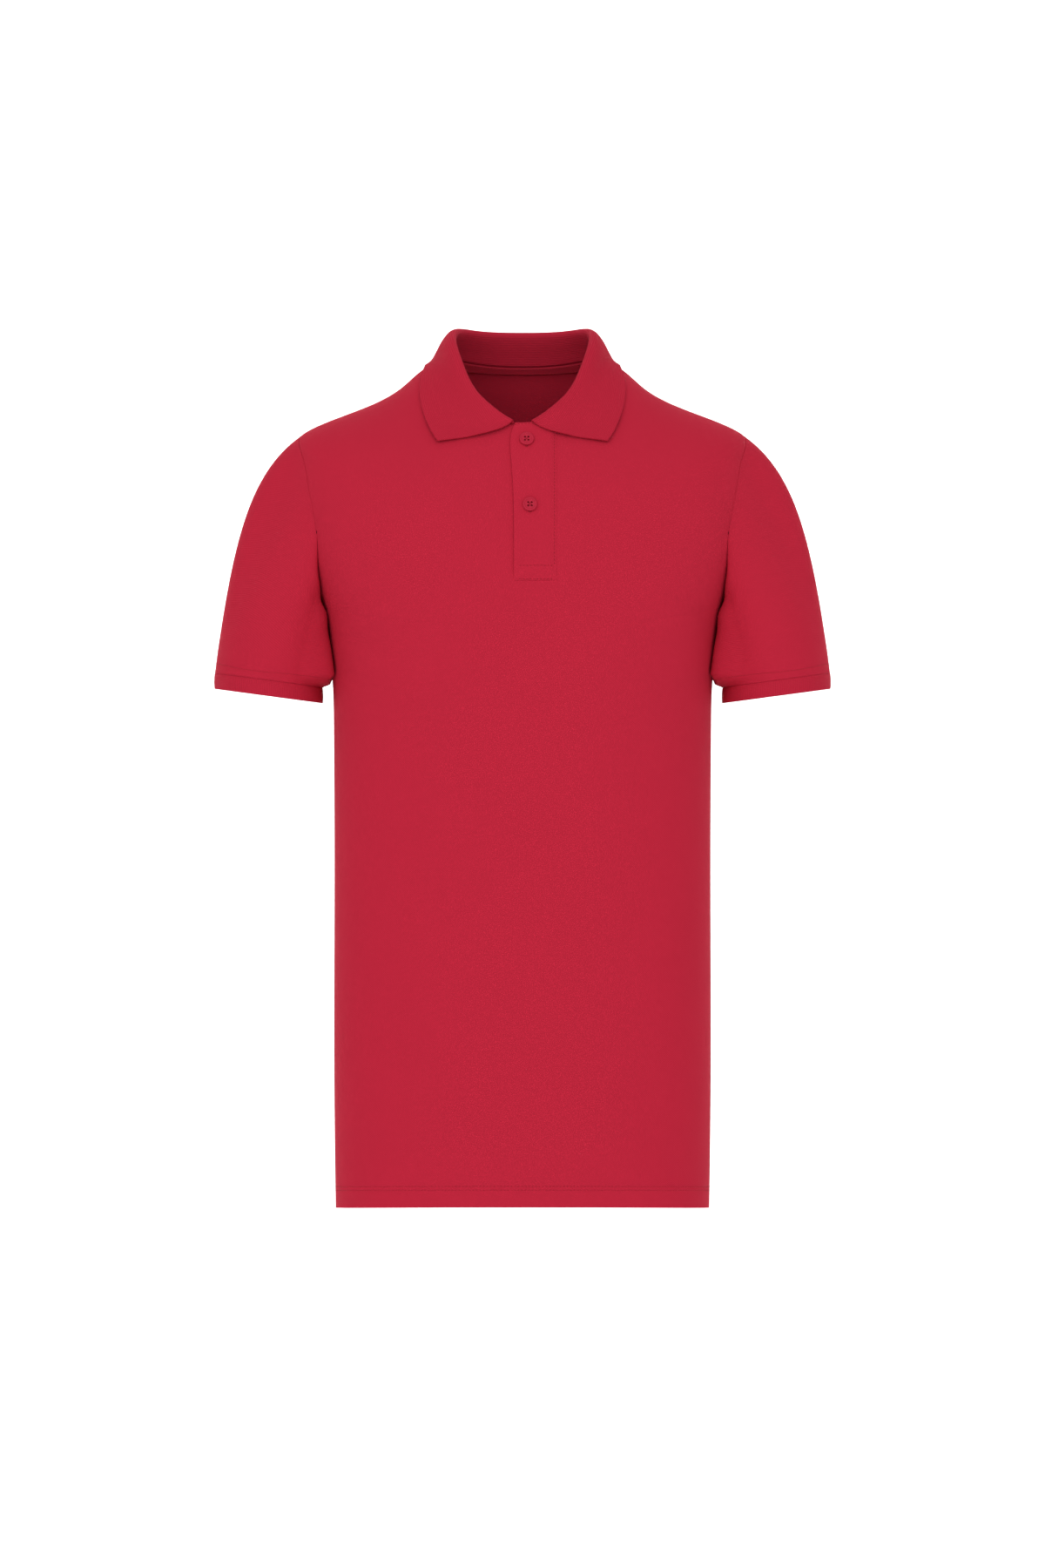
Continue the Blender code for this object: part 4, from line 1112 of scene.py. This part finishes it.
def polyester_resin(name, colour):
    """Cast polyester button resin, tumbled to a satin gloss, with a faint cloudiness in its colour."""
    material, tree, shader = new_material(name)
    place = add_node(tree, "ShaderNodeTexCoord").outputs["Object"]
    cloud = add_node(
        tree, "ShaderNodeTexNoise", inputs={"Vector": place, "Scale": 1 / 0.004, "Detail": 3.0}
    )
    shade = add_node(
        tree,
        "ShaderNodeMix",
        {"data_type": "RGBA"},
        {0: cloud, 6: toned(colour, 0.92), 7: toned(colour, 1.08)},
    )
    rough = add_node(tree, "ShaderNodeMapRange", inputs={0: cloud, 1: 0.3, 2: 0.7, 3: 0.48, 4: 0.6})
    look = {"Base Color": shade.outputs[2], "Roughness": rough}
    set_inputs(tree, shader, {**look, "IOR": 1.55, "Specular IOR Level": 0.14})
    return material


def studio_paper(name, colour):
    """Seamless background paper: matt, pale and without any pattern but a faint tooth.

    Its reverse is clear, so that the shirt can be looked at from behind it."""
    material, tree, shader = new_material(name)
    place = add_node(tree, "ShaderNodeTexCoord").outputs["Object"]
    tooth = add_node(tree, "ShaderNodeTexNoise", inputs={"Vector": place, "Scale": 400.0})
    shade = add_node(
        tree,
        "ShaderNodeMix",
        {"data_type": "RGBA"},
        {0: tooth, 6: toned(colour, 0.995), 7: colour},
    )
    look = {"Base Color": shade.outputs[2], "Roughness": 1.0, "Specular IOR Level": 0.0}
    set_inputs(tree, shader, look)
    face = add_node(tree, "ShaderNodeNewGeometry").outputs["Backfacing"]
    clear = add_node(tree, "ShaderNodeBsdfTransparent")
    sided = add_node(tree, "ShaderNodeMixShader", inputs={0: face, 1: shader, 2: clear})
    set_inputs(tree, tree.nodes["Material Output"], {"Surface": sided})
    return material


# Each material's function, and the user's settings that it is made from
MATERIALS = {
    "cotton pique": (cotton_pique, "shirt_cloth", ("body_colour", "cell_width", "cell_height")),
    "flat-knit cotton rib": (rib_knit, "shirt_cloth", ("rib_colour", "rib_pitch")),
    "cotton twill tape": (twill_tape, "shirt_trim", ("tape_colour",)),
    "polyester thread": (polyester_thread, "shirt_trim", ("thread_colour",)),
    "polyester button resin": (polyester_resin, "shirt_trim", ("button_colour",)),
    "seamless paper": (studio_paper, "shirt_studio", ("paper_colour",)),
}


def finish(name):
    """The named material, made on first use from the user's settings."""
    build, group, wanted = MATERIALS[name]
    settings = getattr(bpy.context.scene, group)
    return bpy.data.materials.get(name) or build(name, *(getattr(settings, key) for key in wanted))


# ---------------------------------------------------------------- what a user would change


def colour_setting(name, description, code):
    """A colour that the user can change, from its sRGB hex value."""
    return FloatVectorProperty(
        name=name,
        description=f"{description}, linear",
        subtype="COLOR",
        size=4,
        min=0,
        max=1,
        default=linear(code),
    )


def millimetres(name, description, default, low):
    """A size that the user can change, in millimetres."""
    return FloatProperty(name=name, description=f"{description}, in millimetres", default=default, min=low)


def metres(name, description, default, digits=2):
    """A size that the user can change, in metres."""
    return FloatProperty(name=name, description=description, default=default, unit="LENGTH", precision=digits)


def light_setting(name, description, default, unit="NONE"):
    """A light's strength or power, that the user can change."""
    return FloatProperty(name=name, description=description, default=default, min=0, unit=unit)


class ShirtCloth(PropertyGroup):
    """The shirt's cloth."""

    body_colour: colour_setting("Body colour", "Dyed colour of the pique", "#BA243A")
    rib_colour: colour_setting("Rib colour", "Dyed colour of the collar and cuffs", "#B82339")
    spacing: millimetres("Grid spacing", "Distance between a panel's points", 3.2, 1.5)
    thickness: millimetres("Pique thickness", "Thickness of the pique", 0.9, 0.3)
    rib_thickness: millimetres("Rib thickness", "Thickness of the collar and cuffs", 1.5, 0.5)
    # Real pique repeats about every 1.3 mm; it is drawn a little coarser, so that it shows
    cell_width: metres("Pique cell width", "Distance between the knit's dimples across the cloth", 0.0019, 5)
    cell_height: metres("Pique cell height", "Distance between the knit's dimples up the cloth", 0.0016, 5)
    rib_pitch: metres("Rib pitch", "Distance between the collar's ribs", 0.0016, 5)


class ShirtTrim(PropertyGroup):
    """The shirt's buttons, tape and sewing."""

    button_colour: colour_setting("Button colour", "Colour of the buttons", "#B41B36")
    button_radius: millimetres("Button radius", "Half a button's width", 6.3, 3)
    button_thickness: millimetres("Button thickness", "A button's height over its rim", 2.4, 1)
    # The thread is darker than the cloth: partly its dye, partly painted shade along the stitch rows
    thread_colour: colour_setting("Thread colour", "Colour of the sewing thread", "#9E1A2A")
    tape_colour: colour_setting("Tape colour", "Colour of the neck tape", "#B82339")
    stitch_length: millimetres("Stitch length", "Visible length of a stitch", 2.5, 1)
    stitch_pitch: millimetres("Stitch pitch", "Distance from stitch to stitch", 3.0, 1.2)
    thread_radius: millimetres("Thread radius", "Half the thread's width", 0.22, 0.1)


class ShirtStudio(PropertyGroup):
    """The studio round the shirt."""

    paper_colour: colour_setting("Paper colour", "Colour of the floor and backdrop", "#FBFBFB")
    floor_height: metres("Floor height", "Height of the floor below the neck", -1.3)
    camera_distance: metres("Camera distance", "From the camera to the shirt", 40.0)
    frame_height: metres(
        "Frame height", "Height of the camera's view at the shirt: 1800 pixels of 0.75 mm", 1.35
    )
    frame_middle: metres(
        "Frame middle", "Height of the middle of the view: the neck is at pixel 425 of 1800", -0.35625
    )
    sky_strength: light_setting("Room light", "Strength of the even light from all round", 0.69)
    key_power: light_setting("Key light", "Power of the large soft light at the front", 54.0, "POWER")
    backdrop_power: light_setting(
        "Backdrop light", "Power of the lamp above the shirt that lights the paper behind it", 180.0, "POWER"
    )


# ---------------------------------------------------------------- operators


class SHIRT_OT_panels(Operator):
    """The front and back panels"""

    bl_idname = "shirt.panels"
    bl_label = "Front and back"

    def execute(self, context):
        look = context.scene.shirt_cloth
        front, keep = front_grid(look.spacing)
        back = back_grid(look.spacing)
        for name, grid, node, kept in (
            ("front_cloth", front, "front_panel", keep),
            ("back_cloth", back, "back_panel", None),
        ):
            add_cloth(name, grid, "cotton pique", node, look.thickness, keep=kept, tall=np.median)
        return {"FINISHED"}


class SHIRT_OT_sleeves(Operator):
    """Both sleeves, the right one the left one's mirror image"""

    bl_idname = "shirt.sleeves"
    bl_label = "Sleeves"

    def execute(self, context):
        look = context.scene.shirt_cloth
        add_pair("sleeve", "cloth", sleeve_grid(look.spacing), "cotton pique", look.thickness)
        return {"FINISHED"}


class SHIRT_OT_cuffs(Operator):
    """Both rib cuffs"""

    bl_idname = "shirt.cuffs"
    bl_label = "Cuffs"

    def execute(self, context):
        look = context.scene.shirt_cloth
        add_pair("cuff", "rib", cuff_grid(look.spacing), "flat-knit cotton rib", look.rib_thickness)
        return {"FINISHED"}


class SHIRT_OT_collar(Operator):
    """The collar, one flat-knit strip"""

    bl_idname = "shirt.collar"
    bl_label = "Collar"

    def execute(self, context):
        wall = context.scene.shirt_cloth.rib_thickness
        grid = collar_grid(*COLLAR_GRID, wall)
        add_cloth("collar_rib", grid, "flat-knit cotton rib", "collar", wall, inward=False)
        return {"FINISHED"}


class SHIRT_OT_neck_tape(Operator):
    """The tape over the back neck seam, and its stitching"""

    bl_idname = "shirt.neck_tape"
    bl_label = "Neck tape"

    def execute(self, context):
        down = NECK_Z - np.linspace(0.3, TAPE_DEPTH, 9)[::-1]
        angles = np.linspace(-90 + TAPE_HALF_ANGLE, -90 - TAPE_HALF_ANGLE, 101)
        under = context.scene.shirt_cloth.thickness + TAPE_CLEAR
        grid = form(down[:, None], angles) - form_normal(down[:, None], angles) * under
        add_cloth("neck_tape_twill", grid, "cotton twill tape", "neck_tape", TAPE_WALL)
        runs = []
        for side_z in TAPE_STITCH_Z:
            normals = form_normal(side_z, angles)
            runs.append((form(side_z, angles) - normals * (under + TAPE_WALL), -normals))
        add_stitching("neck_tape_stitching", runs)
        return {"FINISHED"}


class SHIRT_OT_placket(Operator):
    """Both strips of the placket, with edge and box stitching and the buttonholes"""

    bl_idname = "shirt.placket"
    bl_label = "Placket"

    def execute(self, context):
        under = placket_grid(
            SLOT_FOOT_Z + UNDER_STRIP_IN,
            lambda z: np.full_like(z, SLOT_LEFT + UNDER_STRIP_IN),
            SLOT_RIGHT - UNDER_STRIP_IN,
            False,
            *UNDER_STRIP_GRID,
        )
        upper = placket_grid(PLACKET_FOOT_Z, placket_free_edge, PLACKET_RIGHT, True, *UPPER_STRIP_GRID)
        for name, grid, wall in (
            ("placket_under", under, UNDER_STRIP_WALL),
            ("placket_top", upper, UPPER_STRIP_WALL),
        ):
            add_cloth(name + "_cloth", grid, "cotton pique", name, wall)
        box_x, arch_x = np.linspace(*BOX_X, 20), np.linspace(*ARCH_STITCH_X, 16)
        arch_z = ARCH_STITCH_Z - ARCH_STITCH_BEND * (arch_x - ARCH_MIDDLE) ** 2
        rows = [
            on_placket(PLACKET_RIGHT - SIDE_STITCH_IN, np.linspace(SIDE_STITCH_TOP_Z, BOX_TOP_Z, 60)),
            on_placket(arch_x, arch_z),
            on_placket(box_x, BOX_TOP_Z),
            on_placket(box_x, BOX_FOOT_Z),
        ]
        add_stitching("placket_stitching", rows)
        down = np.linspace(0.5, -0.5, 30) * BUTTONHOLE_LENGTH - BUTTONHOLE_DROP
        bars = [
            on_placket(x + side * BUTTONHOLE_SIDE, z + down) for _, _, x, z in BUTTONS for side in (-1, 1)
        ]
        add_stitching("buttonholes", bars, stitch=BAR_STITCH)
        return {"FINISHED"}


class SHIRT_OT_buttons(Operator):
    """Two four-hole buttons, sewn on with a cross of thread"""

    bl_idname = "shirt.buttons"
    bl_label = "Buttons"

    def execute(self, context):
        trim = context.scene.shirt_trim
        points, corners = button_surface(trim.button_radius, trim.button_thickness)
        for name, node, x, z in BUTTONS:
            place, normal = front_point(np.array([x]), np.array([z]), PLACKET_OUT + BUTTON_SHANK)
            turn = Vector(normal[0]).to_track_quat("Z", "Y").to_matrix()
            basis = np.array(turn)
            mesh = mesh_from(name, place + points @ basis.T, corners)
            piece = add_piece(name, mesh, "polyester button resin", (node,))
            cut_holes(piece, place[0], turn)
            threads = [
                (place + path @ basis.T, np.tile(basis[:, 2], (len(path), 1)))
                for path in button_thread_paths(trim.button_thickness)
            ]
            add_stitching(name + "_thread", threads, BUTTON_STITCH)
        return {"FINISHED"}


def button_surface(radius, height):
    """A button as a surface of revolution: a profile from the middle of its dished face, over the
    rounded rim and back along its flat foot, turned through a full circle."""
    profile = np.array(
        [
            (0.25, height - 0.72),
            (2.0, height - 0.72),
            (radius - 2.3, height - 0.7),
            (radius - 1.95, height - 0.55),
            (radius - 1.6, height - 0.15),
            (radius - 1.2, height),
            (radius - 0.6, height - 0.08),
            (radius - 0.2, height - 0.45),
            (radius, height * 0.55),
            (radius - 0.1, height * 0.35),
            (radius - 0.9, 0.0),
            (2.0, 0.0),
            (0.25, 0.0),
        ]
    )
    turns = np.radians(np.linspace(0, 360, 73)[:-1])
    rim = profile[:, :1] * np.ones(len(turns))
    points = np.stack([rim * np.cos(turns), rim * np.sin(turns), profile[:, 1:] + 0 * rim], axis=-1)
    index = np.arange(points.shape[0] * points.shape[1]).reshape(points.shape[:2])
    wrap = wrapped(index)
    corners = np.stack([wrap[:-1, :-1], wrap[1:, :-1], wrap[1:, 1:], wrap[:-1, 1:]], axis=-1)
    half = len(turns) // 2
    caps = []
    for row, flip in ((index[0], False), (index[-1], True)):
        back = row[::-1]
        cap = np.stack([row[:half], row[1 : half + 1], back[:half], np.roll(back, 1)[:half]], axis=-1)
        caps.append(cap[:, ::-1] if flip else cap)
    return points.reshape(-1, 3), np.concatenate([corners.reshape(-1, 4), *caps])


def button_thread_paths(height):
    """Two short crossing paths over the middle of a button's face, in the button's own axes."""
    reach, sunk = 2.1, 0.62
    paths = []
    for swing in np.radians((45, 135)):
        way = np.array([math.cos(swing), math.sin(swing), 0.0])
        paths.append(np.linspace(-reach, reach, 9)[:, None] * way + np.array([0.0, 0.0, height - sunk]))
    return paths


def cut_holes(piece, place, turn):
    """Four holes through a button, cut by Booleans and then applied."""
    cutters = []
    for k in range(4):
        swing = math.radians(45 + 90 * k)
        bpy.ops.mesh.primitive_cylinder_add(vertices=24, radius=HOLE_RADIUS * MM, depth=8 * MM)
        cutter = bpy.context.object
        offset = turn @ (Vector((math.cos(swing), math.sin(swing), 0)) * HOLE_SPACING * MM)
        cutter.matrix_world = Matrix.Translation(Vector(place * MM) + offset) @ turn.to_4x4()
        hole = piece.modifiers.new(f"hole {k}", "BOOLEAN")
        hole.operation = "DIFFERENCE"
        hole.object = cutter
        cutters.append(cutter)
    bpy.context.view_layer.update()
    ready = piece.evaluated_get(bpy.context.evaluated_depsgraph_get())
    cut = bpy.data.meshes.new_from_object(ready)
    piece.modifiers.clear()
    piece.data = cut
    cut.set_sharp_from_angle(angle=math.radians(40))
    for cutter in cutters:
        bpy.data.objects.remove(cutter, do_unlink=True)


class SHIRT_OT_seams(Operator):
    """The hem's two rows and the row above each cuff"""

    bl_idname = "shirt.seams"
    bl_label = "Hem and cuff stitching"

    def execute(self, context):
        angles = np.linspace(-179.6, 179.6, 900)
        hem = [cloth(np.full_like(angles, HEM_Z + up), angles) for up in HEM_STITCHES_UP]
        add_stitching("hem_stitching", hem)
        turns = np.linspace(0.5, 359.5, 360)
        share = 1 - CUFF_STITCHES_UP / sleeve_length(turns)
        path, normals = sleeve_cloth(share, turns)
        for side, way in SIDES:
            add_stitching(f"cuff_{side}_stitching", [(path * way, normals * way)])
        return {"FINISHED"}


class SHIRT_OT_studio(Operator):
    """A pale paper sweep, even soft light and a camera square to the front"""

    bl_idname = "shirt.studio"
    bl_label = "Studio"

    def execute(self, context):
        room = context.scene.shirt_studio
        floor, wall_y, radius = room.floor_height, 3.2, 1.2
        front_y, top_z, half_width = -14.0, 7.0, 9.0
        turn = np.radians(np.linspace(0, 90, 25))
        bend_y = wall_y - radius + radius * np.sin(turn)
        bend_z = floor + radius - radius * np.cos(turn)
        profile_y = np.concatenate([[front_y], bend_y, [wall_y]])[:, None]
        profile_z = np.concatenate([[floor], bend_z, [top_z]])[:, None]
        x = np.array([-half_width, half_width])
        grid = np.stack(np.broadcast_arrays(x, profile_y, profile_z), axis=-1)
        sweep = add_object("paper_sweep", sheet_mesh("paper_sweep", grid / MM))
        sweep.data.materials.append(finish("seamless paper"))
        sweep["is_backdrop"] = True

        world = bpy.data.worlds.new("white room")
        world.use_nodes = True
        sky = {"Color": (1.0, 1.0, 1.0, 1.0), "Strength": room.sky_strength}
        set_inputs(world.node_tree, world.node_tree.nodes["Background"], sky)
        context.scene.world = world

        shirt, paper = (0.0, 0.0, -0.35), (0.0, wall_y, 1.1)
        for name, power, size, place, target in (
            ("key softbox", room.key_power, (4.0, 3.5), (-0.35, -3.4, 1.6), shirt),
            ("backdrop lamp", room.backdrop_power, (6.0, 1.2), (0.0, 1.0, 1.7), paper),
        ):
            light = bpy.data.lights.new(name, "AREA")
            light.shape = "RECTANGLE"
            light.size, light.size_y = size
            light.energy = power
            lamp = add_object(name, light)
            lamp.location = place
            lamp.rotation_euler = (Vector(target) - Vector(place)).to_track_quat("-Z", "Y").to_euler()

        camera = bpy.data.cameras.new("camera")
        camera.sensor_fit = "VERTICAL"
        camera.sensor_height = 36.0
        camera.lens = camera.sensor_height * room.camera_distance / room.frame_height
        camera.clip_end = 2.5 * room.camera_distance
        eye = add_object("camera", camera)
        eye.location = (0.0, -room.camera_distance, room.frame_middle)
        eye.rotation_euler = (math.radians(90), 0.0, 0.0)
        context.scene.camera = eye
        context.scene.view_settings.view_transform = "Standard"
        return {"FINISHED"}


class SHIRT_PT_sidebar(Panel):
    """The shirt's settings and steps"""

    bl_idname = "SHIRT_PT_sidebar"
    bl_label = "Polo shirt"
    bl_space_type = "VIEW_3D"
    bl_region_type = "UI"
    bl_category = "Polo shirt"

    def draw(self, context):
        for settings in (context.scene.shirt_cloth, context.scene.shirt_trim, context.scene.shirt_studio):
            box = self.layout.box()
            for name in settings.__annotations__:
                box.prop(settings, name)
        for step in STEPS:
            self.layout.operator(step.bl_idname)


STEPS = (
    SHIRT_OT_panels,
    SHIRT_OT_sleeves,
    SHIRT_OT_cuffs,
    SHIRT_OT_collar,
    SHIRT_OT_neck_tape,
    SHIRT_OT_placket,
    SHIRT_OT_buttons,
    SHIRT_OT_seams,
    SHIRT_OT_studio,
)
CLASSES = (ShirtCloth, ShirtTrim, ShirtStudio, *STEPS, SHIRT_PT_sidebar)
SETTINGS = (("shirt_cloth", ShirtCloth), ("shirt_trim", ShirtTrim), ("shirt_studio", ShirtStudio))


def register():
    """Registers the classes and hangs the settings on the scene."""
    for made in CLASSES:
        bpy.utils.register_class(made)
    for name, group in SETTINGS:
        setattr(bpy.types.Scene, name, PointerProperty(type=group))


def unregister():
    """Takes the settings and classes away again."""
    for name, _ in SETTINGS:
        delattr(bpy.types.Scene, name)
    for made in reversed(CLASSES):
        bpy.utils.unregister_class(made)


def main():
    """Builds every piece in order."""
    register()
    for step in STEPS:
        family, name = step.bl_idname.split(".")
        getattr(getattr(bpy.ops, family), name)()
    boxes = {"cad": CAD_BOX, "visual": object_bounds()}
    plain = {name: [[float(v) for v in corner] for corner in box] for name, box in boxes.items()}


if __name__ == "__main__":
    main()
